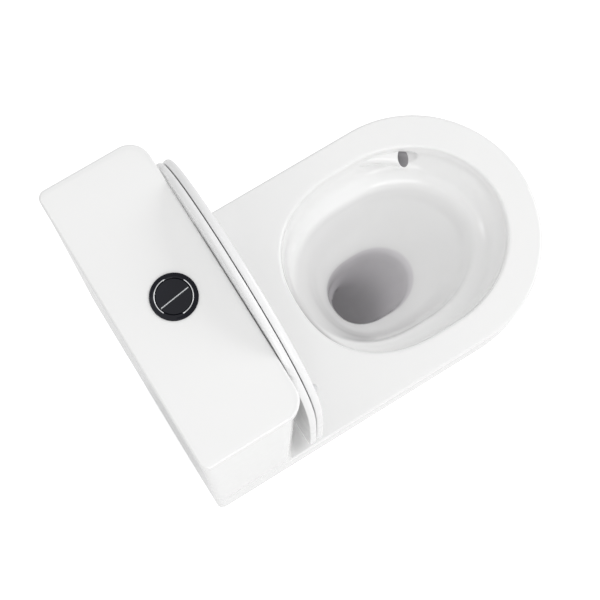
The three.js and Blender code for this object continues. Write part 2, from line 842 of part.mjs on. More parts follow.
// ---- Fill valve ----
const fillFlangeBase = cisternInside + 2 * fitGap + fillWasherThickness;
const fillFlangeTop = fillFlangeBase + fillFlangeThickness;
const riserTop = fillFlangeTop + riserLength;
const fillHeadTop = riserTop + fillHeadHeight;
const armPinX = fillValveX + fillHeadRadius + 8;
const armPinZ = riserTop + fillHeadHeight * 0.5;
const earHalf = armWidth / 2 + earGap + earThickness;

function makeFillValve() {
  const bottom = cisternBase - fillShankDrop;
  const body = lathed([
    [fillBoreRadius, bottom],
    [fillShankRadius, bottom],
    [fillShankRadius, fillFlangeBase],
    [fillFlangeRadius, fillFlangeBase],
    [fillFlangeRadius, fillFlangeTop],
    [riserRadius, fillFlangeTop + 4],
    [riserRadius, riserTop],
    [fillHeadRadius, riserTop + 4],
    [fillHeadRadius, fillHeadTop - 3],
    [fillHeadRadius - 3, fillHeadTop],
    [0, fillHeadTop],
    [0, riserTop - 30],
    [fillBoreRadius, riserTop - 36],
    [fillBoreRadius, bottom],
  ], fillValveX, fillY, 20);
  const ears = box(fillValveX + fillHeadRadius - 3, armPinX + 5, fillY - earHalf, fillY + earHalf,
    armPinZ - 6, armPinZ + 6);
  const slot = box(fillValveX + fillHeadRadius + 1, armPinX + 6, fillY - armWidth / 2 - earGap,
    fillY + armWidth / 2 + earGap, armPinZ - 7, armPinZ + 7);
  const pinHole = barAlongY(armPinX, fillY - earHalf - 1, fillY + earHalf + 1, armPinZ,
    armPinRadius + fitGap);
  return cut(join(body, ears), slot, pinHole);
}

function makeFloatArm() {
  const end = armPinX + armLength;
  const bar = box(armPinX - 4, end, fillY - armWidth / 2, fillY + armWidth / 2,
    armPinZ - armHeight / 2, armPinZ + armHeight / 2);
  const floatX = end - 8;
  return cut(
    bar,
    barAlongY(armPinX, fillY - armWidth, fillY + armWidth, armPinZ, armPinRadius + fitGap),
    post(floatX, fillY, floatRodRadius + fitGap, armPinZ - armHeight, armPinZ + armHeight, 12),
  );
}

function makeFloatRod() {
  const x = armPinX + armLength - 8;
  return join(
    post(x, fillY, floatRodRadius, armPinZ - floatDrop, armPinZ + armHeight / 2 + 4, 12),
    post(x, fillY, floatRodRadius + 2.5, armPinZ + armHeight / 2 + fitGap,
      armPinZ + armHeight / 2 + 4, 12),
  );
}

function makeFloat() {
  const x = armPinX + armLength - 8;
  const top = armPinZ - floatDrop + 8;
  const bottom = top - floatHeight;
  return cut(
    lathed([
      [0, bottom],
      [floatRadius - 4, bottom],
      [floatRadius, bottom + 4],
      [floatRadius, top - 4],
      [floatRadius - 4, top],
      [0, top],
    ], x, fillY, 20),
    post(x, fillY, floatRodRadius + fitGap, top - 9, top + 1, 12),
  );
}

function makeArmPin() {
  return barAlongY(armPinX, fillY - earHalf, fillY + earHalf, armPinZ, armPinRadius);
}

function makeFillWasher() {
  return ring(fillValveX, fillY, fillFlangeRadius, fillShankRadius + fitGap, cisternInside + fitGap,
    cisternInside + fitGap + fillWasherThickness, 20);
}

function makeFillNut() {
  const top = cisternBase - fitGap;
  return nut(fillValveX, fillY, fillNutRadius, fillShankRadius + fitGap, top - fillNutThickness, top);
}

// ---- Seat and lid: built lowered, with the hinge axis as the origin, then turned up ----
function slabOutline({ half, tip, nose, rear, corner }, inset) {
  const points = [];
  const size = half - inset;
  const round = corner - inset;
  arc(points, size - round, rear - inset - round, round, 0, 90, 3);
  arc(points, round - size, rear - inset - round, round, 90, 180, 3);
  const steps = 28;
  for (let i = 0; i <= steps; i += 1) {
    const turn = Math.PI + (Math.PI * i) / steps;
    points.push(new THREE.Vector2(size * Math.cos(turn),
      nose - tip + (nose - inset) * Math.sin(turn)));
  }
  return points;
}

function slab(shape, z0, z1) {
  const inset = (share) => edgeRounding * share;
  return skin([
    { z: z0, points: slabOutline(shape, inset(0.5)) },
    { z: z0 + inset(0.5), points: slabOutline(shape, 0) },
    { z: z1 - inset(1), points: slabOutline(shape, 0) },
    { z: z1 - inset(0.3), points: slabOutline(shape, inset(0.3)) },
    { z: z1, points: slabOutline(shape, inset(1)) },
  ]);
}

// The hinge line, outwards from the middle: seat knuckle, fixed barrel, cover knuckle.
const barrelIn = hingeX - barrelLength / 2;
const barrelOut = hingeX + barrelLength / 2;
const seatKnuckleOut = barrelIn - knuckleGap;
const seatKnuckleIn = seatKnuckleOut - seatKnuckleLength;
const coverKnuckleIn = barrelOut + knuckleGap;
const coverKnuckleOut = coverKnuckleIn + coverKnuckleLength;
const notchFront = -(knuckleRadius + notchClearance);

function mirrored(side, from, to) {
  return side > 0 ? [from, to] : [-to, -from];
}

function sideBox(side, from, to, y0, y1, z0, z1) {
  const [x0, x1] = mirrored(side, from, to);
  return box(x0, x1, y0, y1, z0, z1);
}

function sideBar(side, from, to, radius, sides = 20) {
  const [x0, x1] = mirrored(side, from, to);
  return barAlongX(x0, x1, 0, 0, radius, sides);
}

const coverShape = {
  half: coverHalfWidth, tip: coverLength, nose: coverNoseLength, rear: coverRearReach,
  corner: cornerRadius,
};
const seatShape = {
  half: coverHalfWidth - seatInset, tip: coverLength - seatInset, nose: coverNoseLength - seatInset,
  rear: seatRearReach, corner: cornerRadius,
};

// The pocket for a pin or a damper in a knuckle, opening at its end that faces the fixed barrel.
function damperPocket(side, from, to, faceAtFrom) {
  const pinEnd = faceAtFrom ? from + hingePinBite + fitGap : to - hingePinBite - fitGap;
  const pinHole = faceAtFrom
    ? sideBar(side, from - 1, pinEnd, hingePinRadius + fitGap, 20)
    : sideBar(side, pinEnd, to + 1, hingePinRadius + fitGap, 20);
  return pinHole;
}

function bufferHoles(buffers, z0, z1) {
  return buffers.map(({ x, y, length }) => capsule(x, y, length, bufferWidth + 2 * fitGap, z0, z1));
}

// A post with two round ends, lying along Y.
function capsule(x, y, length, width, z0, z1) {
  const run = (length - width) / 2;
  const ends = [-1, 1].map((end) => post(x, y + end * run, width / 2, z0, z1, 16));
  return join(box(x - width / 2, x + width / 2, y - run, y + run, z0, z1), ...ends);
}

const bufferX = (bowlHalfWidth + panHalfWidth) / 2 - 3;
const seatBuffers = [
  { name: 'seat_buffer_front_left', x: 3 - bufferX, y: hingeDepth - frontBufferDepth },
  { name: 'seat_buffer_front_right', x: bufferX - 3, y: hingeDepth - frontBufferDepth },
  { name: 'seat_buffer_rear_left', x: -bufferX, y: hingeDepth - rearBufferDepth },
  { name: 'seat_buffer_rear_right', x: bufferX, y: hingeDepth - rearBufferDepth },
].map((buffer) => ({ ...buffer, length: seatBufferLength }));
const coverBuffers = [
  { name: 'lid_buffer_left', x: 30 - bufferX, y: hingeDepth - coverBufferDepth },
  { name: 'lid_buffer_right', x: bufferX - 30, y: hingeDepth - coverBufferDepth },
].map((buffer) => ({ ...buffer, length: bufferWidth + 1 }));

function makeCover() {
  const plate = slab(coverShape, coverBottom, coverTop);
  const parts = [plate];
  const notches = [];
  for (const side of [-1, 1]) {
    notches.push(sideBox(side, seatKnuckleIn - notchClearance, coverKnuckleIn, notchFront,
      coverRearReach + 1, coverBottom - 1, coverTop + 1));
    parts.push(sideBar(side, coverKnuckleIn, coverKnuckleOut, knuckleRadius));
  }
  const holes = [-1, 1].map((side) => damperPocket(side, coverKnuckleIn, coverKnuckleOut, true));
  const buffers = bufferHoles(coverBuffers, coverBottom - 1, coverBottom + bufferRecess + fitGap);
  return cut(join(...parts), ...notches, ...holes, ...buffers);
}

function makeSeat() {
  const plate = slab(seatShape, seatBottom, seatTop);
  const parts = [];
  const notches = [];
  for (const side of [-1, 1]) {
    notches.push(sideBox(side, seatKnuckleOut, coverKnuckleOut + notchClearance, notchFront,
      seatRearReach + 1, seatBottom - 1, seatTop + 1));
    parts.push(sideBar(side, seatKnuckleIn, seatKnuckleOut, knuckleRadius));
  }
  const hole = skin([
    { z: seatBottom - 1, points: seatHole(0) },
    { z: seatTop - 4, points: seatHole(0) },
    { z: seatTop - 1, points: seatHole(-2) },
    { z: seatTop + 1, points: seatHole(-6) },
  ]);
  const bores = [-1, 1].map((side) => damperPocket(side, seatKnuckleIn, seatKnuckleOut, false));
  const buffers = bufferHoles(seatBuffers, seatBottom - 1, seatBottom + bufferRecess + fitGap);
  return cut(join(cut(plate, ...notches), ...parts), hole, ...bores, ...buffers);
}

function seatHole(inset) {
  const outline = eggOutline({
    half: seatHoleHalfWidth - inset,
    rear: seatHoleRearDepth + inset,
    rearMid: seatHoleMidDepth - 20,
    frontMid: seatHoleMidDepth,
    front: seatHoleFrontDepth - inset,
    steps: 14,
  });
  return outline.map((p) => new THREE.Vector2(p.x, p.y - hingeY));
}

function makeSeatBuffer({ x, y, length }) {
  return capsule(x, y, length, bufferWidth, -hingeRise + seatBufferGap, seatBottom + bufferRecess);
}

function makeCoverBuffer({ x, y, length }) {
  return capsule(x, y, length, bufferWidth, seatTop + seatBufferGap, coverBottom + bufferRecess);
}

// ---- Hinges ----
function makeHingePost(side) {
  const x = side * hingeX;
  const barrel = barAlongX(x - barrelLength / 2, x + barrelLength / 2, hingeY, hingeHeight,
    barrelRadius);
  const neck = post(x, hingeY, hingeBaseRadius, rimHeight + fitGap, hingeHeight - 2);
  const stud = post(x, hingeY, hingeStudRadius, rimHeight - hingeStudDrop, hingeHeight - 4, 16);
  const pinHole = barAlongX(x - barrelLength, x + barrelLength, hingeY, hingeHeight,
    hingePinRadius + fitGap, 20);
  return cut(join(barrel, neck, stud), pinHole);
}

function makeHingePin(side) {
  const [x0, x1] = mirrored(side, seatKnuckleOut - hingePinBite, coverKnuckleIn + hingePinBite);
  return barAlongX(x0, x1, hingeY, hingeHeight, hingePinRadius, 20);
}

function makeHingeWasher(side) {
  const top = rimHeight - rimThickness - fitGap;
  return ring(side * hingeX, hingeY, hingeWasherRadius, hingeStudRadius + fitGap,
    top - hingeWasherThickness, top, 16);
}

function makeHingeNut(side) {
  const top = rimHeight - rimThickness - 2 * fitGap - hingeWasherThickness;
  return nut(side * hingeX, hingeY, hingeNutRadius, hingeStudRadius + fitGap,
    top - hingeNutThickness, top);
}

// ---- Floor fixing ----
const skirtFace = footHalfWidth;
const skirtInside = footHalfWidth - skirtWall;
const bracketY = wallY - bracketDepth;

function makeBracket(side) {
  const outer = skirtInside - fitGap;
  const inner = outer - bracketReach;
  const y0 = bracketY - bracketWidth / 2;
  const y1 = bracketY + bracketWidth / 2;
  const base = sideBox(side, inner, outer, y0, y1, 0, bracketPlate);
  const upright = sideBox(side, outer - bracketPlate, outer, y0, y1, 0, bracketHeight);
  const rib = sideBox(side, outer - bracketReach * 0.6, outer, bracketY - 14, bracketY - 9, 0,
    bracketHeight * 0.7);
  const [h0, h1] = mirrored(side, outer - bracketPlate - 1, outer + 1);
  const sideHole = barAlongX(h0, h1, bracketY, fixingHeight, sideScrewRadius + fitGap, 16);
  const floorHole = post(side * (inner + bracketReach * 0.35), bracketY, floorScrewRadius + fitGap,
    -1, bracketPlate + 1, 16);
  return cut(join(base, upright, rib), sideHole, floorHole);
}

function makeSideScrew(side) {
  const [x0, x1] = mirrored(side, skirtFace - sideScrewLength, skirtFace - 2);
  const [h0, h1] = mirrored(side, skirtFace - 5, skirtFace - 2);
  return join(
    barAlongX(x0, x1, bracketY, fixingHeight, sideScrewRadius, 12),
    barAlongX(h0, h1, bracketY, fixingHeight, sideScrewHeadRadius, 16),
  );
}

function makeFloorScrew(side) {
  const x = side * (skirtInside - fitGap - bracketReach * 0.65);
  const seat = bracketPlate + fitGap;
  return join(
    post(x, bracketY, floorScrewRadius, fitGap, seat + 1, 12),
    post(x, bracketY, floorScrewHeadRadius, seat, seat + floorScrewHeadThickness, 6),
  );
}

function makeCap(side) {
  const [x0, x1] = mirrored(side, skirtFace + fitGap, skirtFace + fitGap + capThickness);
  const [p0, p1] = mirrored(side, skirtFace - 1.5, skirtFace + fitGap + 1);
  return join(
    barAlongX(x0, x1, bracketY, fixingHeight, capRadius, 24),
    barAlongX(p0, p1, bracketY, fixingHeight, sideHoleRadius - fitGap, 16),
  );
}

// ---- Assembly ----
function named(name, body, material) {
  const { vertProperties, triVerts } = body.getMesh();
  const geometry = new THREE.BufferGeometry();
  geometry.setAttribute('position', new THREE.Float32BufferAttribute(vertProperties, 3));
  geometry.setIndex(Array.from(triVerts));
  geometry.computeVertexNormals();
  const mesh = new THREE.Mesh(geometry, material);
  mesh.name = name;
  return mesh;
}

const sides = [
  { side: -1, place: 'left' },
  { side: 1, place: 'right' },
];
const toilet = new THREE.Group();
toilet.add(
  named('pan', makePan(), china),
  named('cistern_body', makeCistern(), china),
  named('cistern_lid', makeCisternLid(), china),
  named('button_bezel', makeBezel(), darkChrome),
  named('full_flush_button', makeButton(1), darkChrome),
  named('half_flush_button', makeButton(-1), darkChrome),
  named('full_flush_rod', makeRod(fullRodX), bluePlastic),
  named('half_flush_rod', makeRod(halfRodX), whitePlastic),
  named('button_lock_nut', makeLockNut(), whitePlastic),
  named('flush_valve_cage', makeValveBase(), whitePlastic),
  named('flush_valve_overflow_tube', makeValveCore(), bluePlastic),
  named('flush_valve_seal', makeValveSeal(), rubber),
  named('flush_valve_head', makeValveHead(), whitePlastic),
  named('flush_valve_washer', makeValveWasher(), rubber),
  named('flush_valve_back_nut', makeValveNut(), whitePlastic),
  named('close_coupling_gasket', makeGasket(), rubber),
  named('fill_valve_body', makeFillValve(), whitePlastic),
  named('fill_valve_washer', makeFillWasher(), rubber),
  named('fill_valve_back_nut', makeFillNut(), whitePlastic),
  named('float_arm', makeFloatArm(), greyPlastic),
  named('float_arm_pin', makeArmPin(), steel),
  named('float_adjusting_rod', makeFloatRod(), redPlastic),
  named('fill_valve_float', makeFloat(), greyPlastic),
);
for (const { side, place } of sides) {
  toilet.add(
    named(`coupling_bolt_${place}`, makeBolt(side * boltX), brass),
    named(`coupling_rubber_washer_${place}`, makeRubberWasher(side * boltX), rubber),
    named(`coupling_steel_washer_${place}`, makeSteelWasher(side * boltX), steel),
    named(`coupling_wing_nut_${place}`, makeWingNut(side * boltX), brass),
    named(`hinge_post_${place}`, makeHingePost(side), chrome),
    named(`hinge_pin_${place}`, makeHingePin(side), steel),
    named(`hinge_washer_${place}`, makeHingeWasher(side), rubber),
    named(`hinge_nut_${place}`, makeHingeNut(side), whitePlastic),
    named(`floor_bracket_${place}`, makeBracket(side), whitePlastic),
    named(`floor_screw_${place}`, makeFloorScrew(side), steel),
    named(`side_screw_${place}`, makeSideScrew(side), steel),
    named(`screw_cap_${place}`, makeCap(side), gloss),
  );
}

// The raised seat and lid turn together about the hinge axis.
const raised = new THREE.Group();
raised.position.set(0, hingeY, hingeHeight);
raised.rotation.x = -THREE.MathUtils.degToRad(raiseAngle);
raised.add(
  named('toilet_lid', makeCover(), gloss),
  named('toilet_seat', makeSeat(), gloss),
  ...coverBuffers.map((buffer) => named(buffer.name, makeCoverBuffer(buffer), clearBuffer)),
  ...seatBuffers.map((buffer) => named(buffer.name, makeSeatBuffer(buffer), clearBuffer)),
);
toilet.add(raised);

export default toilet;
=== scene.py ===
import bmesh
import bpy
import json
import math
import numpy as np
from mathutils import Matrix, Vector


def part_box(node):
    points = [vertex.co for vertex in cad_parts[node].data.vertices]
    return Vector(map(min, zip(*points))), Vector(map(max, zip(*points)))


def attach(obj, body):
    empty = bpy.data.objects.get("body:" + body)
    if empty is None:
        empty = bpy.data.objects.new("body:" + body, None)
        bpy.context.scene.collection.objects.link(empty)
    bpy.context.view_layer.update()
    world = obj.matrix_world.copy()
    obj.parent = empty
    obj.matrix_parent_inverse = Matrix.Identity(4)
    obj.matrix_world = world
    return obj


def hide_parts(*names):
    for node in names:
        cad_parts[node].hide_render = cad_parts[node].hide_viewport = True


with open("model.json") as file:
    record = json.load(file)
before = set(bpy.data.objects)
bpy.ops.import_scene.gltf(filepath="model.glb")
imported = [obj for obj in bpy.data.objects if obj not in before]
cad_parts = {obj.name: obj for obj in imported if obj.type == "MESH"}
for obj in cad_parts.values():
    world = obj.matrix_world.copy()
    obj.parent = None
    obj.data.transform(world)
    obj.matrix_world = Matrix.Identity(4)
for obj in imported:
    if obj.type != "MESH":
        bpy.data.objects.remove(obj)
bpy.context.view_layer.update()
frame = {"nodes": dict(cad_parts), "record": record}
mm = 0.001
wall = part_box("cistern_lid")[1].y  # depths are measured forwards from here


# shared shapes
def smooth(x):
    # 0 below 0, 1 above 1, and x^2 (3 - 2 x) between
    x = np.clip(x, 0, 1)
    return x * x * (3 - 2 * x)


def between(low, high, share):
    # a straight mix, low at 0 and high at 1
    return low + (high - low) * share


def signedPower(value, power):
    # |value|^power with the value's sign
    return np.sign(value) * np.abs(value) ** power


def inScene(x, depth, z):
    # millimetres across, forwards from the wall and up, as the scene's metres
    return np.stack([x * mm, wall - depth * mm, z * mm], -1)


def curveThrough(knots, values, at):
    # a smooth line through the knots in cubic Hermite pieces: a knot's slope is the mean of its
    # neighbours', or none where the values turn back, so that nothing overshoots
    knots, values, at = (np.asarray(given, float) for given in (knots, values, at))
    step = np.diff(knots)
    shape = (-1, *([1] * (values.ndim - 1)))
    slope = np.diff(values, axis=0) / step.reshape(shape)
    tangent = np.zeros_like(values)
    tangent[1:-1] = np.where(slope[:-1] * slope[1:] <= 0, 0, (slope[:-1] + slope[1:]) / 2)
    tangent[0], tangent[-1] = slope[0], slope[-1]
    i = np.clip(np.searchsorted(knots, at, side="right") - 1, 0, len(knots) - 2)
    width = step[i].reshape(shape)
    t = ((at - knots[i]) / step[i]).reshape(shape)
    return ((2 * t**3 - 3 * t**2 + 1) * values[i] + (t**3 - 2 * t**2 + t) * width * tangent[i]
            + (3 * t**2 - 2 * t**3) * values[i + 1] + (t**3 - t**2) * width * tangent[i + 1])


def runAlong(points):
    # how far each point lies along the line through them, from the first
    return np.concatenate([[0], np.cumsum(np.linalg.norm(np.diff(points, axis=0), axis=1))])


def gridFaces(rows, cols, wrapRows, wrapCols, start=0):
    # the quads between neighbouring points of a rows by cols grid, wrapping where asked
    row, col = np.meshgrid(np.arange(rows if wrapRows else rows - 1),
                           np.arange(cols if wrapCols else cols - 1), indexing="ij")
    below, beside = (row + 1) % rows, (col + 1) % cols
    quads = np.stack([row * cols + col, row * cols + beside, below * cols + beside, below * cols + col], -1)
    return quads.reshape(-1, 4) + start


def pieceFrom(name, points, faces, material, keepFlat=40):
    # a mesh from all its points and quads: doubles are merged, collapsed faces dropped, faces turned
    # outwards, and edges sharper than keepFlat degrees stay sharp
    mesh = bpy.data.meshes.new(name)
    mesh.from_pydata(points.tolist(), [], faces.tolist())
    mesh.update()
    piece = bpy.data.objects.new(name, mesh)
    bpy.context.scene.collection.objects.link(piece)
    work = bmesh.new()
    work.from_mesh(mesh)
    bmesh.ops.remove_doubles(work, verts=work.verts, dist=1e-6)
    bmesh.ops.dissolve_degenerate(work, edges=work.edges, dist=1e-7)
    bmesh.ops.recalc_face_normals(work, faces=work.faces)
    work.to_mesh(mesh)
    work.free()
    mesh.shade_smooth()
    mesh.set_sharp_from_angle(angle=math.radians(keepFlat))
    mesh.materials.append(material)
    return piece


def makePiece(name, shells, material, keepFlat=40):
    # a piece of one or more shells, each (points of shape rows x cols x 3 in metres, wrapRows,
    # wrapCols)
    points, faces, count = [], [], 0
    for grid, wrapRows, wrapCols in shells:
        rows, cols = grid.shape[:2]
        points.append(grid.reshape(-1, 3))
        faces.append(gridFaces(rows, cols, wrapRows, wrapCols, count))
        count += rows * cols
    return pieceFrom(name, np.concatenate(points), np.concatenate(faces), material, keepFlat)


def paint(piece, material, chosen):
    # a second finish on the faces that chosen picks by their centres, an array in metres
    faces = piece.data.polygons
    centres = np.empty(len(faces) * 3)
    faces.foreach_get("center", centres)
    index = np.empty(len(faces), dtype=np.int32)
    faces.foreach_get("material_index", index)
    piece.data.materials.append(material)
    index[chosen(centres.reshape(-1, 3))] = len(piece.data.materials) - 1
    faces.foreach_set("material_index", index)


def turned(profile, x, depth, around):
    # the closed (radius, z) profile carried round the upright line through (x, depth)
    profile = np.asarray(profile, float)
    turn = np.linspace(0, 2 * math.pi, around, endpoint=False)
    radius, z = profile[:, :1], profile[:, 1:]
    return inScene(x + radius * np.cos(turn), depth - radius * np.sin(turn), z + 0 * turn)


# finishes
def newMaterial(name):
    # a material with one Principled shader and its output
    material = bpy.data.materials.new(name)
    material.use_nodes = True
    nodes = material.node_tree.nodes
    nodes.clear()
    shader = nodes.new("ShaderNodeBsdfPrincipled")
    output = nodes.new("ShaderNodeOutputMaterial")
    material.node_tree.links.new(shader.outputs[0], output.inputs[0])
    return material, nodes, material.node_tree.links, shader


def objectNoise(nodes, links, scale, detail):
    # soft noise over the object's own coordinates, scale lumps to the metre
    place = nodes.new("ShaderNodeTexCoord")
    noise = nodes.new("ShaderNodeTexNoise")
    noise.inputs["Scale"].default_value = scale
    noise.inputs["Detail"].default_value = detail
    links.new(place.outputs["Object"], noise.inputs["Vector"])
    return noise.outputs["Fac"]


def ramp(nodes, links, source, low, high, start=0.0, end=1.0):
    # low at start, high at end, straight between and held outside
    node = nodes.new("ShaderNodeMapRange")
    node.inputs["From Min"].default_value = start
    node.inputs["From Max"].default_value = end
    node.inputs["To Min"].default_value = low
    node.inputs["To Max"].default_value = high
    links.new(source, node.inputs["Value"])
    return node.outputs["Result"]


def tinted(nodes, links, source, colourA, colourB):
    # colourA where the source is 0, colourB where it is 1
    mix = nodes.new("ShaderNodeMix")
    mix.data_type = "RGBA"
    mix.inputs["A"].default_value = (*colourA, 1)
    mix.inputs["B"].default_value = (*colourB, 1)
    links.new(source, mix.inputs["Factor"])
    return mix.outputs["Result"]


def bumped(nodes, links, height, strength, distance):
    # normals leaned by the slope of a height
    bump = nodes.new("ShaderNodeBump")
    bump.inputs["Strength"].default_value = strength
    bump.inputs["Distance"].default_value = distance
    links.new(height, bump.inputs["Height"])
    return bump.outputs["Normal"]


plainFinish = {"driftScale": 7, "bump": 0.1, "bumpDepth": 0.0002, "metal": 0, "ior": 1.5, "coat": 0,
               "coatRoughness": 0.03, "seeThrough": 0}


def surfaceFinish(name, look):
    # base colour drifting between two tints, roughness between two limits, and a fine skin of bumps
    look = plainFinish | look
    material, nodes, links, shader = newMaterial(name)
    drift = ramp(nodes, links, objectNoise(nodes, links, look["driftScale"], 3), 0, 1, 0.35, 0.65)
    fine = objectNoise(nodes, links, look["fineScale"], 4)
    links.new(tinted(nodes, links, drift, look["colour"], look["colourToo"]), shader.inputs["Base Color"])
    links.new(ramp(nodes, links, fine, *look["roughness"], 0.3, 0.7), shader.inputs["Roughness"])
    links.new(bumped(nodes, links, fine, look["bump"], look["bumpDepth"]), shader.inputs["Normal"])
    for socket, key in (("Metallic", "metal"), ("IOR", "ior"), ("Coat Weight", "coat"),
                        ("Coat Roughness", "coatRoughness"), ("Transmission Weight", "seeThrough")):
        shader.inputs[socket].default_value = look[key]
    material.diffuse_color = (*look["colour"], 1)
    return material


finishes = {
    "glazedChina": {
        "colour": (0.935, 0.935, 0.931), "colourToo": (0.925, 0.926, 0.923), "roughness": (0.05, 0.09),
        "fineScale": 60, "bump": 0.03, "coat": 0.2, "coatRoughness": 0.02, "ior": 1.52},
    # painted shade: a dark grey inside the duct's bore standing in for the shade in the hole
    "paintedBoreShade": {
        "colour": (0.36, 0.352, 0.365), "colourToo": (0.32, 0.314, 0.325), "roughness": (0.25, 0.4),
        "fineScale": 120, "bump": 0.2, "bumpDepth": 0.0004, "ior": 1.45},
    "seatGloss": {
        "colour": (0.935, 0.935, 0.938), "colourToo": (0.925, 0.925, 0.928), "roughness": (0.12, 0.18),
        "fineScale": 90, "bump": 0.007, "coat": 0.15, "ior": 1.48},
    "darkMirror": {
        "colour": (0.006, 0.0065, 0.011), "colourToo": (0.009, 0.01, 0.017), "roughness": (0.03, 0.07),
        "fineScale": 400, "bump": 0.01, "bumpDepth": 0.00005, "ior": 1.3},
    "brightChrome": {
        "colour": (0.8, 0.81, 0.82), "colourToo": (0.76, 0.77, 0.78), "roughness": (0.06, 0.12),
        "fineScale": 500, "bump": 0.02, "bumpDepth": 0.0001, "metal": 1.0},
    "satinSteel": {
        "colour": (0.56, 0.57, 0.58), "colourToo": (0.5, 0.51, 0.52), "roughness": (0.28, 0.42),
        "fineScale": 600, "bumpDepth": 0.0001, "metal": 1.0},
    "dullBrass": {
        "colour": (0.56, 0.4, 0.16), "colourToo": (0.47, 0.32, 0.12), "roughness": (0.25, 0.45),
        "fineScale": 500, "bumpDepth": 0.0001, "metal": 1.0},
    "blackRubber": {
        "colour": (0.022, 0.022, 0.023), "colourToo": (0.032, 0.032, 0.033), "roughness": (0.65, 0.85),
        "fineScale": 900, "bump": 0.25, "bumpDepth": 0.0001},
    "clearBuffer": {
        "colour": (0.86, 0.87, 0.875), "colourToo": (0.82, 0.83, 0.84), "roughness": (0.25, 0.4),
        "fineScale": 700, "seeThrough": 0.12, "ior": 1.42},
    "whiteMoulding": {
        "colour": (0.72, 0.73, 0.74), "colourToo": (0.68, 0.69, 0.7), "roughness": (0.32, 0.46),
        "fineScale": 800, "bump": 0.15, "bumpDepth": 0.0001},
    "blueMoulding": {
        "colour": (0.03, 0.13, 0.36), "colourToo": (0.024, 0.11, 0.31), "roughness": (0.3, 0.45),
        "fineScale": 800, "bump": 0.15, "bumpDepth": 0.0001},
    "redMoulding": {
        "colour": (0.42, 0.035, 0.03), "colourToo": (0.36, 0.03, 0.025), "roughness": (0.3, 0.45),
        "fineScale": 800, "bump": 0.15, "bumpDepth": 0.0001},
    "greyMoulding": {
        "colour": (0.2, 0.215, 0.23), "colourToo": (0.17, 0.185, 0.2), "roughness": (0.35, 0.5),
        "fineScale": 800, "bump": 0.15, "bumpDepth": 0.0001},
}
materials = {name: surfaceFinish(name, look) for name, look in finishes.items()}

# the sump's painted shade: a grey tint low in the bowl and trap standing in for the shade there
sumpShadeLook = {"white": (0.93, 0.93, 0.927), "grey": (0.81, 0.795, 0.815), "whiteAt": 0.231, "greyAt": 0.227,
            "roughness": (0.06, 0.12), "fineScale": 60, "bump": 0.06, "bumpDepth": 0.0002, "coat": 0.2}


def sumpShadeFinish(name, look):
    # painted shade in the sump and trap: the tint goes from the bowl's white to a dull violet grey with
    # height, grey below greyAt and white above whiteAt
    material, nodes, links, shader = newMaterial(name)
    place = nodes.new("ShaderNodeTexCoord")
    split = nodes.new("ShaderNodeSeparateXYZ")
    links.new(place.outputs["Object"], split.inputs[0])
    height = ramp(nodes, links, split.outputs["Z"], 0, 1, look["greyAt"], look["whiteAt"])
    fine = objectNoise(nodes, links, look["fineScale"], 3)
    links.new(tinted(nodes, links, height, look["grey"], look["white"]), shader.inputs["Base Color"])
    links.new(ramp(nodes, links, fine, *look["roughness"], 0.3, 0.7), shader.inputs["Roughness"])
    links.new(bumped(nodes, links, fine, look["bump"], look["bumpDepth"]), shader.inputs["Normal"])
    shader.inputs["Coat Weight"].default_value = look["coat"]
    material.diffuse_color = (*look["white"], 1)
    return material


materials["sumpPaintedShade"] = sumpShadeFinish("sumpPaintedShade", sumpShadeLook)
slotFinish = {
    "china": "glazedChina", "seat_gloss": "seatGloss", "dark_chrome": "darkMirror", "chrome": "brightChrome",
    "steel": "satinSteel", "brass": "dullBrass", "rubber": "blackRubber", "clear_buffer": "clearBuffer",
    "white_plastic": "whiteMoulding", "blue_plastic": "blueMoulding", "red_plastic": "redMoulding",
    "grey_plastic": "greyMoulding"}
for part in frame["record"]["subparts"]:
    node = frame["nodes"][part["node"]]
    node.data.materials.clear()
    node.data.materials.append(materials[slotFinish[part["material_slot"]]])
print("materials made:", len(materials))


# outlines seen from above, as (x, depth) in millimetres
def headings(count, crowds, exact=()):
    # angles round an upright line, 0 towards the wall and growing to +X: count of them, as dense as 1 +
    # the sum of gain exp(-((angle -+ place) / spread)^2), and the exact ones with their mirror twins
    fine = np.linspace(-180, 180, 40001)
    weight = 1 + 0 * fine
    for place, spread, gain in crowds:
        weight = weight + gain * (np.exp(-((fine - place) / spread) ** 2)
                                  + np.exp(-((fine + place) / spread) ** 2))
    total = np.concatenate([[0], np.cumsum((weight[1:] + weight[:-1]) / 2)])
    angle = np.interp((np.arange(count) + 0.5) / count, total / total[-1], fine)
    both = np.concatenate([np.asarray(exact, float), -np.asarray(exact, float)])
    return np.radians(np.sort(np.concatenate([angle, both])))


def rayHits(outline, centre, heading):
    # how far the ray at each heading runs from the centre to a closed outline that it crosses once: the
    # cross product of the struck edge's ends over that of the ray and the edge
    outline = np.asarray(outline, float) - np.asarray(centre, float)
    angle = np.arctan2(outline[:, 0], -outline[:, 1])
    order = np.argsort(angle, kind="stable")
    outline, angle = outline[order], angle[order]
    keep = np.concatenate([[True], np.diff(angle) > 1e-9])
    outline, angle = outline[keep], angle[keep]
    i = np.searchsorted(angle, heading) % len(angle)
    start, edge = outline[i - 1], outline[i] - outline[i - 1]
    return ((start[:, 0] * edge[:, 1] - start[:, 1] * edge[:, 0])
            / (np.sin(heading) * edge[:, 1] + np.cos(heading) * edge[:, 0]))


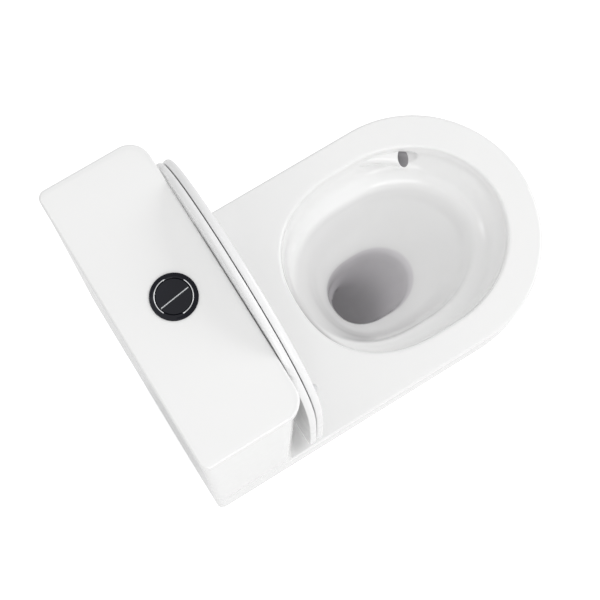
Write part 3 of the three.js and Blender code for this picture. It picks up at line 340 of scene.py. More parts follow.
def rayCrossing(outline, centre, heading):
    # the near side of an outline that the rays enter and leave: every ray is tried on every edge at
    # once, and rays that miss it get 1e9
    start = np.asarray(outline, float) - np.asarray(centre, float)
    edge = np.roll(start, -1, 0) - start
    way = np.stack([np.sin(heading), -np.cos(heading)], -1)
    cross = way[:, None, 0] * edge[None, :, 1] - way[:, None, 1] * edge[None, :, 0]
    cross = np.where(np.abs(cross) < 1e-12, 1e-12, cross)
    far = (start[None, :, 0] * edge[None, :, 1] - start[None, :, 1] * edge[None, :, 0]) / cross
    on = (start[None, :, 0] * way[:, None, 1] - start[None, :, 1] * way[:, None, 0]) / cross
    far = np.where((on >= -1e-9) & (on <= 1 + 1e-9) & (far > 0), far, 1e9)
    return far.min(1)


def arcPoints(x, depth, radius, start, end, steps=40):
    # an arc about (x, depth) from one angle to another, 0 at +X and 90 towards the wall
    turn = np.radians(np.linspace(start, end, steps))
    return np.stack([x + radius * np.cos(turn), depth - radius * np.sin(turn)], -1)


def noseOutline(half, back, tip, nose, corner):
    # two small back corners, straight sides and half an ellipse at the front
    turn = np.linspace(0, math.pi, 400)
    front = np.stack([-half * np.cos(turn), tip - nose + nose * np.sin(turn)], -1)
    return np.concatenate([arcPoints(half - corner, back + corner, corner, 0, 90),
                           arcPoints(corner - half, back + corner, corner, 90, 180), front])


def eggOutline(half, rear, rearMid, frontMid, front, power=2.3):
    # half a superellipse |x|^power + |y|^power = 1 behind, half an ellipse in front
    turn = np.linspace(0, math.pi, 400)
    share = 2 / power
    back = np.stack([half * signedPower(np.cos(turn), share),
                     rearMid - (rearMid - rear) * np.abs(np.sin(turn)) ** share], -1)
    fore = np.stack([-half * np.cos(turn), frontMid + (front - frontMid) * np.sin(turn)], -1)
    return np.concatenate([back, fore])


def boxOutline(half, back, front, backRadius, frontRadius, bow):
    # a box with round corners whose front bows out by bow (1 - (x / reach)^2)
    reach = half - frontRadius
    x = np.linspace(-reach, reach, 120)
    bulge = np.stack([x, front + bow * (1 - (x / reach) ** 2)], -1)
    return np.concatenate([
        arcPoints(half - backRadius, back + backRadius, backRadius, 0, 90),
        arcPoints(backRadius - half, back + backRadius, backRadius, 90, 180),
        arcPoints(frontRadius - half, front - frontRadius, frontRadius, 180, 270), bulge,
        arcPoints(half - frontRadius, front - frontRadius, frontRadius, 270, 360)])


cisternPlan = {"half": 185, "back": 1, "front": 130.5, "backRadius": 10, "frontRadius": 26, "bow": 2.5,
               "proudFront": 3.9, "proudBow": 1.7}


def cisternOutline(inset=0.0, proud=0.0, smallest=1.2):
    # the cistern's plan drawn in all round; proud carries its front, and less of its bow, further
    # forwards
    plan = cisternPlan
    return boxOutline(plan["half"] - inset, plan["back"] + inset,
                      plan["front"] - inset + proud * plan["proudFront"],
                      max(plan["backRadius"] - inset, smallest), max(plan["frontRadius"] - inset, smallest),
                      plan["bow"] - proud * plan["proudBow"])


def ringPoints(reach, z, centre, heading):
    # the points that lie that far along each ray, at those heights
    reach, z = np.asarray(reach, float), np.asarray(z, float)
    return inScene(centre[0] + reach * np.sin(heading), centre[1] - reach * np.cos(heading), z + 0 * reach)


# the pan
panShape = {
    "half": 185, "back": 1, "tip": 634.5, "nose": 182.5, "corner": 9,
    "footHalf": 142, "footBack": 14, "footTip": 474, "footNose": 122, "footTop": 62, "uprightFrom": 334,
    "swellPower": 1.15, "belly": 0.75, "rim": 400, "wall": 11, "underRim": 388, "underPlatform": 414.5,
    "platformTop": 428.5, "platformEdge": 5, "platformFoot": 7, "platformTurn": 33,
    "bowlRear": 247, "bowlRearMid": 401, "bowlFrontMid": 429, "bowlFront": 585, "bowlWall": 10,
    "openingTop": 262, "openingHalfAngle": 12.0, "openingDip": 34, "trapInner": 39, "trapOuter": 48,
    "trapInFrom": 0.1, "trapOutFrom": 0.12, "stepFade": 2.5, "skirtTop": 394, "insideTop": 392,
    "insideReachAt": 380,
}
# how close together the platform's rows lie where there is no platform
plainGap = {"end": 1.2, "turn": 0.8, "lip": 1.3, "foot": 0.8}
# drop below the rim, half width, how far the rear comes forwards, how far the front goes back
bowlSteps = np.array([
    [0.0, 145.5, -5.5, -5.5], [0.35, 143.2, -3.2, -3.2], [1.3, 141.3, -1.3, -1.3], [3.2, 140.2, -0.2, -0.2],
    [8, 139.7, 0.3, 0.4], [18, 138.8, 1.5, 1.8], [30, 137, 4.5, 6], [42, 133, 8.7, 14],
    [48, 128.5, 11.2, 20], [51.5, 122.5, 12.8, 26], [54.3, 115.5, 14.1, 32.5], [58.5, 109.8, 16.1, 38],
    [65, 106.5, 19.4, 42.3], [82, 102.3, 28, 50], [100, 97, 36.5, 58], [122, 88.5, 45.5, 74],
    [142, 77.5, 54, 93], [158, 64, 62, 113], [168, 56, 66.5, 126], [178, 52.5, 69, 135],
    [196, 49.5, 71, 142], [216, 46.5, 71, 150]])
# the trap's line in the middle plane, as (depth, height)
trapRoute = np.array([[372, 170], [364, 144], [336, 112], [294, 110], [262, 138], [240, 164], [212, 202],
                      [168, 214], [122, 194], [90, 184], [62, 184]], float)
trapZone = {"half": 80, "top": 262, "rear": 235, "front": 500, "lowFront": 452, "lowUnder": 224}

# rays crowd at the rear corners, the platform's ends, the opening's sides and the duct's mouth
panCentre = (0, 400)
panHeading = headings(300, ((24.9, 1.0, 16), (29.4, 1.6, 5), (12.0, 0.7, 3), (134, 9, 1.2)), (11.99, 12.01))
panDegrees = np.degrees(panHeading)
swellHeights = np.linspace(-40, 440, 961)


def alongRoute(route, count, start):
    # evenly spread places and directions along a smooth line through the route's points, from that
    # share of its length on
    run = runAlong(route)
    fine = curveThrough(run, route, np.linspace(0, run[-1], 800))
    length = runAlong(fine)
    at = np.linspace(start, 1, count) * length[-1]
    slope = np.gradient(fine, axis=0)
    place, way = (np.stack([np.interp(at, length, table[:, axis]) for axis in (0, 1)], -1)
                  for table in (fine, slope))
    return place, way / np.linalg.norm(way, axis=1, keepdims=True)


def trapRings(radius, count, start):
    # rings square to the trap's line; each begins on the side away from the floor
    place, way = alongRoute(trapRoute, count, start)
    up = np.stack([way[:, 1], way[:, 0]], -1)  # (depth, z), a quarter turn from the way
    x = radius * np.sin(panHeading) + 0 * place[:, :1]
    depth = place[:, :1] + radius * np.cos(panHeading) * up[:, :1]
    z = place[:, 1:] - radius * np.cos(panHeading) * up[:, 1:]
    return inScene(x, depth, z)


def skirtSwell(shape):
    # how far the skirt has swollen from its foot's plan to its rim's at swellHeights: with s the share
    # of the way up, s^swellPower (1 + belly s (1 - s)), softened over 30 mm
    share = np.clip((swellHeights - shape["footTop"]) / (shape["uprightFrom"] - shape["footTop"]), 0, 1)
    swell = share ** shape["swellPower"] * (1 + shape["belly"] * share * (1 - share))
    kernel = np.hanning(61)
    return np.convolve(np.pad(swell, 30, mode="edge"), kernel / kernel.sum(), mode="valid")


def skirtTable(shape, inset):
    # how far the skirt's plan, drawn in all round, lies along each ray at 61 mixes of the foot's plan
    # and the rim's
    return np.array([rayHits(noseOutline(
        between(shape["footHalf"], shape["half"], share) - inset,
        between(shape["footBack"], shape["back"], share) + inset,
        between(shape["footTip"], shape["tip"], share) - inset,
        between(shape["footNose"], shape["nose"], share) - inset,
        max(shape["corner"] - inset, 1.5)), panCentre, panHeading) for share in np.linspace(0, 1, 61)])


def skirtReach(table, swell, z):
    # the reach at each height, mixed from the table's neighbouring rows
    level = np.interp(z, swellHeights, swell) * (len(table) - 1)
    i = np.clip(level.astype(int), 0, len(table) - 2)
    return between(np.take_along_axis(table, i, 0), np.take_along_axis(table, i + 1, 0), level - i)


def skirtHeights(shape):
    # the skirt's rows, which dip round the corners of the rear opening: with n the angle's share of the
    # opening's half, the dip is n^8 inside and exp(-((n - 1) / 0.35)^2) outside, fading above and
    # below. Also the row that runs along the opening's top
    z = np.concatenate([[0, 1.2, 3], np.linspace(10, 60, 9), np.linspace(68, 250, 27), [256, 262, 268],
                        np.linspace(276, 340, 14), np.linspace(350, 390, 5)])
    near = np.abs(panDegrees) / shape["openingHalfAngle"]
    dip = np.where(near < 1, near**8, np.exp(-((near - 1) / 0.35) ** 2))
    fade = np.interp(z, [0, 120, 262, 330, 400], [0, 0.3, 1, 0.1, 0])
    openingRow = int(np.argmin(np.abs(z - shape["openingTop"])))
    return z[:, None] - shape["openingDip"] * dip * fade[:, None], openingRow


def rimRows(shape, out):
    # from the skirt's top over its edge, across the platform, down to the deck and on to the bowl.
    # Where the platform's step lies inside the edge isRaised is 1; elsewhere it is 0 and the rows lie
    # close together on a plain rim. Edges are quarter circles: reach falls by r (1 - cos t) while the
    # height falls by r (1 - sin t)
    step = np.where(np.abs(panDegrees) < shape["platformTurn"],
                    rayCrossing(cisternOutline(), panCentre, panHeading), out)
    width = out - step
    isRaised = smooth((width - 0.2) / shape["stepFade"])
    isPlain = 1 - isRaised
    rim, edge, foot = shape["rim"], shape["platformEdge"], shape["platformFoot"]
    top = rim + (shape["platformTop"] - rim) * isRaised
    turn = np.linspace(0, math.pi / 2, 8)[1:, None]
    upright = np.linspace(0, 1, 8)[:, None]
    across = np.linspace(0, 1, 12)[1:, None]
    down = np.linspace(0, 1, 7)[1:, None]
    deck = np.linspace(0, 1, 22)[1:-1, None]
    ends = isRaised * np.minimum(step + edge, out - edge - 0.6) + isPlain * (out - edge - plainGap["end"])
    soft = np.minimum(edge, np.maximum(width - edge, 1)) * isRaised
    drop = np.minimum(edge, (top - rim) * 0.45)
    lip = ends - soft - isPlain * plainGap["lip"]
    footDrop = np.minimum(foot, (top - rim) * 0.45)
    bowlRim = rayHits(eggOutline(bowlSteps[0, 1], shape["bowlRear"] + bowlSteps[0, 2], shape["bowlRearMid"],
                                 shape["bowlFrontMid"], shape["bowlFront"] - bowlSteps[0, 3]),
                      panCentre, panHeading)
    deckStart = lip - isPlain - (foot * isRaised + plainGap["foot"] * isPlain) * (1 - np.cos(turn))
    reach = [out + 0 * upright,
             out - edge * (1 - np.cos(turn)),
             out - edge + (ends - out + edge) * across,
             ends - soft * np.sin(turn) - isPlain * plainGap["turn"] * turn,
             lip - isPlain * down,
             deckStart,
             deckStart[-1] + (bowlRim - deckStart[-1]) * deck]
    height = [between(shape["skirtTop"], top - edge, upright),
              top - edge * (1 - np.sin(turn)),
              top + 0 * across,
              top - drop * (1 - np.cos(turn)),
              top - drop + (rim + footDrop - top + drop) * down,
              rim + footDrop * (1 - np.sin(turn)),
              rim + 0 * deck + 0 * out]
    return ringPoints(np.concatenate(reach), np.concatenate(height), panCentre, panHeading)


def bowlRings(shape, outwards, fromDrop):
    # the bowl's egg-shaped rings from that drop down, each about its own centre, which has moved to the
    # ring's middle where the drop reaches settled
    rings = []
    settled = 150
    depth = panCentre[1]
    length = shape["bowlFront"] - shape["bowlRear"]
    for drop, half, rear, ahead in bowlSteps[bowlSteps[:, 0] >= fromDrop]:
        back, front = shape["bowlRear"] + rear - outwards, shape["bowlFront"] - ahead + outwards
        middle = (back + front) / 2
        mids = [back + (front - back) * (shape[key] - shape["bowlRear"]) / length
                for key in ("bowlRearMid", "bowlFrontMid")]
        own = (0, middle if drop > settled else between(depth, min(middle, depth), smooth(drop / settled)))
        rings.append(ringPoints(rayHits(eggOutline(half + outwards, back, *mids, front), own, panHeading),
                                shape["rim"] - drop, own, panHeading))
    return np.array(rings)


def ringsThrough(rings, count):
    # count rings on smooth lines through the given ones, spread half by their run and half by their
    # number
    run = np.concatenate([[0], np.cumsum(np.abs(np.diff(rings, axis=0)).mean((1, 2)))])
    dense = np.interp(np.linspace(0, 1, count), np.linspace(0, 1, len(run)), run)
    return curveThrough(run, rings, 0.5 * dense + 0.5 * np.linspace(0, run[-1], count))


def undersideRows(shape, last, innerTop):
    # from the bowl's outside under the deck to the platform's inner step, up it and out under the
    # platform to the skirt's inside, then down. Where there is no platform isHigh is 0 and the rows lie
    # flat
    reachLast = np.hypot(last[:, 0], (wall - last[:, 1]) - panCentre[1] * mm) / mm
    step = rayCrossing(cisternOutline(shape["wall"], smallest=2), panCentre, panHeading)
    step = np.where(np.abs(panDegrees) < shape["platformTurn"], step, 1e9)
    isHigh = smooth((innerTop - step - 0.2) / shape["stepFade"])
    underRim = shape["underRim"]
    under = underRim + (shape["underPlatform"] - underRim) * isHigh
    to = np.where(isHigh > 0, np.minimum(step, innerTop - 0.5), innerTop - 0.5)
    out = np.linspace(0, 1, 5)[:, None]
    share = np.linspace(0, 1, 4)[1:, None]
    down = np.linspace(1, 0, 6)[1:-1, None]
    rows = ((reachLast + 4 + (to - reachLast - 4) * out, underRim + 0 * out),
            (to + 0 * share, underRim + (under - underRim) * share),
            (to + (innerTop - to) * share, under + 0 * share),
            (innerTop + 0 * down, between(shape["insideTop"], under, down)))
    return np.concatenate([ringPoints(reach, z, panCentre, panHeading) for reach, z in rows])


def panSheet(shape):
    # one closed sheet: up the skirt, over the rim or the platform, down the bowl, through the trap to
    # the outlet, back along the outside of the trap and bowl, under the deck and down the inside of the
    # skirt
    swell = skirtSwell(shape)
    outer, inner = skirtTable(shape, 0), skirtTable(shape, shape["wall"])
    z, openingRow = skirtHeights(shape)
    reach = skirtReach(outer, swell, z)
    reach[0] -= 1.5  # the foot's softened edge
    reach[1] -= 0.4
    skirt = ringPoints(reach, z, panCentre, panHeading)
    rimOut, rimIn = (skirtReach(table, swell, np.full((1, len(panHeading)), float(level)))[0]
                     for table, level in ((outer, shape["rim"]), (inner, shape["insideReachAt"])))
    trapIn = trapRings(shape["trapInner"], 30, shape["trapInFrom"])
    trapOut = trapRings(shape["trapOuter"], 26, shape["trapOutFrom"])[::-1]
    bowl = ringsThrough(np.concatenate([bowlRings(shape, 0, 0), trapIn[:3]]), 96)
    shell = ringsThrough(np.concatenate([trapOut[-2:], bowlRings(shape, shape["bowlWall"], 16)[::-1]]), 30)
    shell = shell[shell[..., 2].min(1) > 0]
    inside = ringPoints(skirtReach(inner, swell, z)[::-1], z[::-1], panCentre, panHeading)
    sheet = np.concatenate([skirt, rimRows(shape, rimOut), bowl, trapIn[3:], trapOut, shell,
                            undersideRows(shape, shell[-1], rimIn), inside])
    return sheet, openingRow


def openedFaces(sheet, openingRow, halfAngle):
    # the sheet's quads without the back of the skirt up to openingRow, outside and inside; the
    # opening's two sides and its head are closed by quads from the one to the other
    rows, cols = sheet.shape[:2]
    quads = gridFaces(rows, cols, True, True).reshape(rows, cols, 4)
    left, right = (int(np.argmin(np.abs(panDegrees - side * halfAngle))) for side in (-1, 1))
    twin = rows - 1 - openingRow
    keep = np.ones((rows, cols), bool)
    keep[:openingRow, left:right] = False
    keep[twin:, left:right] = False
    up = np.arange(openingRow)
    sides = [np.stack([up * cols + col, (up + 1) * cols + col, (rows - 2 - up) * cols + col,
                       (rows - 1 - up) * cols + col], -1) for col in (left, right)]
    along = np.arange(left, right)
    head = np.stack([openingRow * cols + along, openingRow * cols + along + 1, twin * cols + along + 1,
                     twin * cols + along], -1)
    return np.concatenate([quads[keep], *sides, head])


# the share of the duct's line along which the pan's faces get the bore's painted shade
ductShape = {"outer": 13.8, "bore": 10, "flare": 2.4, "reach": 13.1, "scoop": 16, "mouthSlant": 19,
             "skin": 0.9, "shadedShare": 0.88,
             "route": ((157, 402, 373), (154, 428, 373), (147.5, 453, 373), (137, 475, 373),
                       (124, 493, 372.6), (108, 510.5, 372))}  # across, forwards and up


def ductLine(shape, count=200):
    # the duct's centre line, its direction and its two cross directions, all as (x, depth, z)
    route = np.array(shape["route"], float)
    run = runAlong(route)
    place = curveThrough(run, route, np.linspace(0, run[-1], count))
    way = np.gradient(place, axis=0)
    way /= np.linalg.norm(way, axis=1, keepdims=True)
    side = np.cross(way, (0, 0, 1))
    side /= np.linalg.norm(side, axis=1, keepdims=True)
    return place, way, side, np.cross(side, way)


def ductGrid(shape, around=48):
    # a tube with a rounded mouth that is cut back at the top, from its outside round the mouth into its
    # bore: each ring is centre + radius (cos t side + sin t up)
    place, _, side, up = ductLine(shape)
    run = runAlong(place)
    thick = (shape["outer"] - shape["bore"] - shape["flare"]) / 2
    length = run[-1] - thick
    lip = np.linspace(0, math.pi, 9)
    out = np.linspace(0, length, 26)[:-1]
    back = np.linspace(length, 0, 32)[1:]
    at = np.concatenate([out, length + thick * np.sin(lip), back])
    radius = np.concatenate([shape["outer"] + 0 * out, shape["outer"] - thick * (1 - np.cos(lip)),
                             shape["bore"] + shape["flare"] * smooth((back - length + 16) / 16)])
    turn = np.linspace(0, 2 * math.pi, around, endpoint=False)
    slant = shape["mouthSlant"] / 2 * (1 + np.sin(turn)) * smooth(at / length * 3 - 2)[:, None]
    along = at[:, None] - slant
    place, side, up = (np.stack([np.interp(along, run, table[:, axis]) for axis in range(3)], -1)
                       for table in (place, side, up))
    points = (place + radius[:, None, None] * np.cos(turn)[None, :, None] * side
              + radius[:, None, None] * np.sin(turn)[None, :, None] * up)
    return inScene(points[..., 0], points[..., 1], points[..., 2])


def clearOfDuct(points, shape, count=80):
    # points nearer to the duct's line than its skin are moved out to it, so that nothing crosses the
    # bore; past the mouth the reach shrinks along a quarter circle and leaves a scoop in the wall
    place, way = ductLine(shape, count)[:2]
    past = np.linspace(0, 1, 13)[1:, None]
    place = np.concatenate([place, place[-1] + past * shape["scoop"] * way[-1]])
    margin = shape["reach"] * mm
    want = np.concatenate([np.full(count, margin), margin * np.sqrt(1 - past[:, 0] ** 2)])
    spots = inScene(place[:, 0], place[:, 1], place[:, 2])
    close = np.flatnonzero(((points > spots.min(0) - margin) & (points < spots.max(0) + margin)).all(1))
    gap = points[close][:, None] - spots[None]
    far = np.linalg.norm(gap, axis=2)
    best = far.argmin(1)
    every = np.arange(len(close))
    gap, far, want = gap[every, best], far[every, best], want[best]
    grow = np.where(far < want, want / np.maximum(far, 1e-6) - 1, 0)
    moved = points.copy()
    moved[close] += gap * grow[:, None]
    return moved


def isNearDuct(at, reach, share, count=60):
    # whether each point lies within reach, in millimetres, of that share of the duct's line
    place = ductLine(ductShape, count)[0][:int(count * share)]
    spots = inScene(place[:, 0], place[:, 1], place[:, 2])
    return np.linalg.norm(at[:, None] - spots[None], axis=2).min(1) < reach * mm


def isDuctBore(at):
    # the duct's bore and the inner part of its lip, which get the bore's painted shade
    return isNearDuct(at, ductShape["outer"] - ductShape["skin"], 1)


def isNearBore(at):
    # the pan's faces that the bore shows, short of its mouth, which get the bore's painted shade as well
    return isNearDuct(at, ductShape["bore"], ductShape["shadedShare"])


def isTrap(at):
    # the bowl's floor and the trap, which get the sump's painted shade: a box whose front draws back below a
    # height
    x, depth, z = at[:, 0] / mm, (wall - at[:, 1]) / mm, at[:, 2] / mm
    front = np.where(z > trapZone["lowUnder"], trapZone["front"], trapZone["lowFront"])
    isLow = (np.abs(x) < trapZone["half"]) & (z < trapZone["top"])
    return isLow & (depth > trapZone["rear"]) & (depth < front)


sheet, openingRow = panSheet(panShape)
pan = pieceFrom("pan_casting", clearOfDuct(sheet.reshape(-1, 3), ductShape),
                openedFaces(sheet, openingRow, panShape["openingHalfAngle"]), materials["glazedChina"])
duct = makePiece("flush_duct_casting", [(ductGrid(ductShape), True, True)], materials["glazedChina"])
# the bore and the pan's faces inside it are painted dark grey as the bore's shade
paint(duct, materials["paintedBoreShade"], isDuctBore)
paint(pan, materials["paintedBoreShade"], isNearBore)
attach(duct, "base")
# painted shade in the sump and trap: a grey tint below a height
paint(pan, materials["sumpPaintedShade"], isTrap)
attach(pan, "base")
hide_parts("pan")
print("pan:", len(pan.data.polygons), "faces")


# the cistern and its lid
cisternShape = {"base": 428.8, "top": 808.8, "wall": 10, "floor": 12, "hole": 32.5, "baseRing": 46,
                "topEdge": 1.5, "baseEdge": 2.2, "floorFillet": 7}
cisternLidShape = {"base": 809.1, "top": 829.1, "overhang": 1, "fillet": 3.2, "lipInset": 11.5,
                   "lipThick": 6, "lipBottom": 800.1, "ceiling": 820.1, "ceilingFillet": 3, "hole": 24.4,
                   "holeBoss": 36}
valveCentre = (0, 73)  # of the flush valve and the button above it, across and forwards
# rays crowd at the corners and a little along the front
cisternHeading = headings(220, ((68.7, 2.6, 9), (103.0, 9.0, 3), (180.0, 30, 0.5)))


def bandFrom(steps):
    # rings from (kind, amount, z): an inset from the plan of the cistern or of its prouder lid, or a
    # radius about the flush valve
    reach = []
    for kind, amount, _ in steps:
        if kind == "valve":
            reach.append(np.full(len(cisternHeading), float(amount)))
        else:
            outline = cisternOutline(amount, 1.0 if kind == "lid" else 0.0)
            reach.append(rayHits(outline, valveCentre, cisternHeading))
    height = np.array([[step[2]] for step in steps], float)
    return ringPoints(np.array(reach), height, valveCentre, cisternHeading)


def arcSteps(kind, amount, z, radius, start, end, count=5):
    # rings round an edge whose centre lies at (amount, z): amount - r cos t and z + r sin t
    turn = np.radians(np.linspace(start, end, count))
    return [(kind, amount - radius * math.cos(t), z + radius * math.sin(t)) for t in turn]


def bodySteps(shape):
    # up the outside, over the top edge, down the inside, across the floor and out through the valve's
    # hole
    base, top, thick, hole = (shape[key] for key in ("base", "top", "wall", "hole"))
    floorTop = base + shape["floor"]
    edge, low, fillet = shape["topEdge"], shape["baseEdge"], shape["floorFillet"]
    steps = arcSteps("plan", low, base + low, low, -90, 0)
    steps += [("plan", 0, z) for z in np.linspace(base + 10, top - 10, 14)]
    steps += arcSteps("plan", edge, top - edge, edge, 0, 90)
    steps += arcSteps("plan", thick - edge, top - edge, edge, 90, 180)
    steps += [("plan", thick, z) for z in np.linspace(top - 12, base + 34, 8)]
    steps += arcSteps("plan", thick + fillet, floorTop + fillet, fillet, -10, -90, 7)
    steps += [("valve", radius, floorTop) for radius in (38, 36, hole + edge)]
    steps += [("valve", hole, floorTop - edge), ("valve", hole, base + edge), ("valve", hole + edge, base)]
    return steps + [("valve", shape["baseRing"], base)]


def lidSteps(shape):
    # up the lid's edge, over the top to the button's hole, down through it, then under the ceiling and
    # round the lip
    base, top, ceiling, hole = (shape[key] for key in ("base", "top", "ceiling", "hole"))
    over, fillet, soft = shape["overhang"], shape["fillet"], shape["ceilingFillet"]
    lipOut, lipBottom = shape["lipInset"], shape["lipBottom"]
    lipIn = lipOut + shape["lipThick"]
    steps = [("lid", 0.4 - over, base), ("lid", -over, base + 0.6)]
    steps += [("lid", -over, z) for z in np.linspace(base + 3, top - fillet - 2, 4)]
    steps += arcSteps("lid", fillet - over, top - fillet, fillet, 0, 90, 10)
    steps += [("lid", inset, top) for inset in (8, 14, 20)]
    steps += [("valve", radius, top) for radius in (34, 28, 26, hole + 1)]
    steps += [("valve", hole + 0.3, top - 0.3), ("valve", hole, top - 1), ("valve", hole, ceiling + 1),
              ("valve", hole + 1, ceiling), ("valve", shape["holeBoss"], ceiling)]
    lip = [(lipIn + soft, ceiling), (lipIn, ceiling - soft), (lipIn, lipBottom + 1), (lipIn - 1, lipBottom),
           (lipOut + 1, lipBottom), (lipOut, lipBottom + 1), (lipOut, base - 1), (lipOut - 1, base)]
    return steps + [("plan", inset, z) for inset, z in lip]


cistern = makePiece("cistern_casting", [(bandFrom(bodySteps(cisternShape)), True, True)],
                    materials["glazedChina"])
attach(cistern, "base")
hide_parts("cistern_body")
cisternLid = makePiece("cistern_lid_casting", [(bandFrom(lidSteps(cisternLidShape)), True, True)],
                       materials["glazedChina"])
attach(cisternLid, "cistern_lid")
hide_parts("cistern_lid")
print("cistern and lid:", len(cistern.data.polygons), len(cisternLid.data.polygons), "faces")


# the flush button: a dark ring with two bright beads, and two dark halves with bright edges
buttonShape = {"radius": 21, "top": 831.5, "thick": 9, "split": 0.9, "offset": 2, "turn": 8, "edge": 0.6,
               "crown": 0.25, "brightInset": 0.9}
ringShape = {"outer": 27.9, "top": 832.1, "base": 829.4, "slope": 1.3, "edge": 0.5, "bore": 21.4,
             "sleeve": 23.8, "sleeveBottom": 799.1, "collar": 15.5, "collarThick": 3, "threads": 26,
             "threadDepth": 0.55, "threadStep": 0.75}
inlayShape = {"width": 0.36, "height": 1.5, "drop": 1.6, "endGap": 0.7, "squareness": 0.6}
beadShape = {"radius": 22.05, "thick": 0.62, "lift": 0.8, "drop": 0.05, "span": 124, "turn": 50}
splitTurn = math.radians(buttonShape["turn"])


def fromSplit(across, along):
    # (x, depth) of a place so far across the button's split and so far along it: a turn about the
    # button's centre
    return (across * math.cos(splitTurn) - along * math.sin(splitTurn),
            valveCentre[1] - across * math.sin(splitTurn) - along * math.cos(splitTurn))


def halfOutline(side, inset):
    # an arc and its chord, drawn in all round; side is 1 for the larger half and -1 for the smaller
    shape = buttonShape
    radius = shape["radius"] - inset
    chord = side * shape["split"] / 2 - shape["offset"] + side * inset
    limit = math.acos(side * chord / radius)
    turn = np.linspace(-limit, limit, 241)
    return np.stack(fromSplit(side * radius * np.cos(turn), radius * np.sin(turn)), -1)


def isBright(at):
    # the halves' bevels along the split
    shape = buttonShape
    x, y, z = at[:, 0] / mm, (at[:, 1] - wall) / mm + valveCentre[1], at[:, 2] / mm
    across = x * math.cos(splitTurn) + y * math.sin(splitTurn)
    isBevel = (z > shape["top"] - shape["edge"] - 0.05) & (z < ringShape["top"] - 0.02)
    isSplit = np.abs(across + shape["offset"]) < shape["split"] / 2 + shape["edge"] / 2
    return isBevel & isSplit & (np.hypot(x, y) < shape["radius"] - shape["brightInset"])


def halfGrid(side, shape):
    # one half: its flat underside, its upright edge, a bevel and a top that rises towards the middle by
    # crown (1 - share^2), with share the part of the way out
    middle = halfOutline(side, 0).mean(0)
    heading = headings(150, ())
    low, shoulder = shape["top"] - shape["thick"], shape["top"] - shape["edge"]
    steps = [(0.3, low), (0, low + 0.3), (0, shoulder - 1.5), (0, shoulder)]
    steps += [(shape["edge"] * share, shoulder + shape["edge"] * share) for share in (0.15, 0.5, 0.85, 1)]
    reach = np.array([rayHits(halfOutline(side, inset), middle, heading) for inset, _ in steps])
    height = np.array([[z] for _, z in steps]) + 0 * reach
    share = np.linspace(0.97, 0, 7)[:, None]
    reach = np.concatenate([reach[:1] * share[::-1], reach, reach[-1:] * share])
    height = np.concatenate([height[:1] + 0 * share, height,
                             shape["top"] + shape["crown"] * (1 - share**2) + 0 * height[:1]])
    return ringPoints(reach, height, middle, heading)


def ringProfile(shape):
    # (radius, z) round the ring's section: up its threaded sleeve, round the rim's edge and down into
    # its bore
    foot, shoulder, edge = shape["sleeveBottom"], shape["top"] - shape["slope"], shape["edge"]
    collar, bore, outer, sleeve = (shape[key] for key in ("collar", "bore", "outer", "sleeve"))
    profile = [(bore, foot + shape["collarThick"]), (collar, foot + shape["collarThick"]), (collar, foot),
               (sleeve - 0.6, foot)]
    profile += [(sleeve - shape["threadDepth"] * (turn % 2), foot + 0.8 + shape["threadStep"] * turn)
                for turn in range(shape["threads"])]
    profile += [(sleeve, shape["base"]), (outer, shape["base"]), (outer, shoulder - edge)]
    profile += [(outer - edge * (1 - math.cos(t)), shoulder - edge * (1 - math.sin(t)))
                for t in np.radians(np.linspace(15, 75, 4))]
    profile += [(outer - 0.55 + share * (sleeve + 0.1 - outer), shoulder + share * shape["slope"])
                for share in np.linspace(0.02, 0.98, 5)]
    return profile + [(sleeve - 1, shape["top"]), (bore + edge, shape["top"]), (bore, shape["top"] - edge),
                      (bore, shape["top"] - 3)]


def inlayGrid(shape):
    # a thin bright strip in the split: its section is a squared ellipse, shrunk by sqrt(1 - s^40) where
    # s is the part of the way from the middle to an end
    reach = buttonShape["radius"] - shape["endGap"]
    along = np.linspace(-reach, reach, 40)[:, None]
    bulge = np.linspace(0, 2 * math.pi, 14, endpoint=False)
    shrink = np.sqrt(np.clip(1 - (along / reach) ** 40, 0, 1))
    across = shape["width"] * shrink * signedPower(np.cos(bulge), shape["squareness"])
    height = shape["height"] * shrink * signedPower(np.sin(bulge), shape["squareness"])
    return inScene(*fromSplit(across - buttonShape["offset"], along),
                   buttonShape["top"] - shape["drop"] + height)


def beadGrid(side, shape, around=16, count=90):
    # a bead let into the ring along most of half its mouth: a circle carried along an arc, shrunk like
    # the inlay
    reach = math.radians(shape["span"] / 2)
    along = np.linspace(-reach, reach, count)[:, None]
    middle = splitTurn + math.radians(90 * (1 - side) + shape["turn"])
    turn = np.linspace(0, 2 * math.pi, around, endpoint=False)
    thick = shape["thick"] * np.sqrt(np.clip(1 - (along / reach) ** 40, 0, 1))
    radius = shape["radius"] + thick * np.cos(turn)
    return inScene(radius * np.cos(middle + along), valveCentre[1] - radius * np.sin(middle + along),
                   ringShape["top"] + thick * shape["lift"] * np.sin(turn) - shape["drop"])


for side, name in ((1, "full_flush_button"), (-1, "half_flush_button")):
    half = makePiece(name + "_cap", [(halfGrid(side, buttonShape), False, True)],
                     materials["darkMirror"], 20)
    paint(half, materials["brightChrome"], isBright)
    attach(half, name)
    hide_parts(name)
bezel = makePiece("button_ring", [(turned(ringProfile(ringShape), *valveCentre, 120), True, True)],
                  materials["darkMirror"], 30)
inlay = makePiece("button_split_inlay", [(inlayGrid(inlayShape), False, True)],
                  materials["brightChrome"], 30)
beads = [makePiece(name, [(beadGrid(side, beadShape), False, True)], materials["brightChrome"], 30)
         for side, name in ((1, "button_bead_full_side"), (-1, "button_bead_half_side"))]
for piece in (bezel, inlay, *beads):
    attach(piece, "cistern_lid")
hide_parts("button_bezel")
print("flush button made")


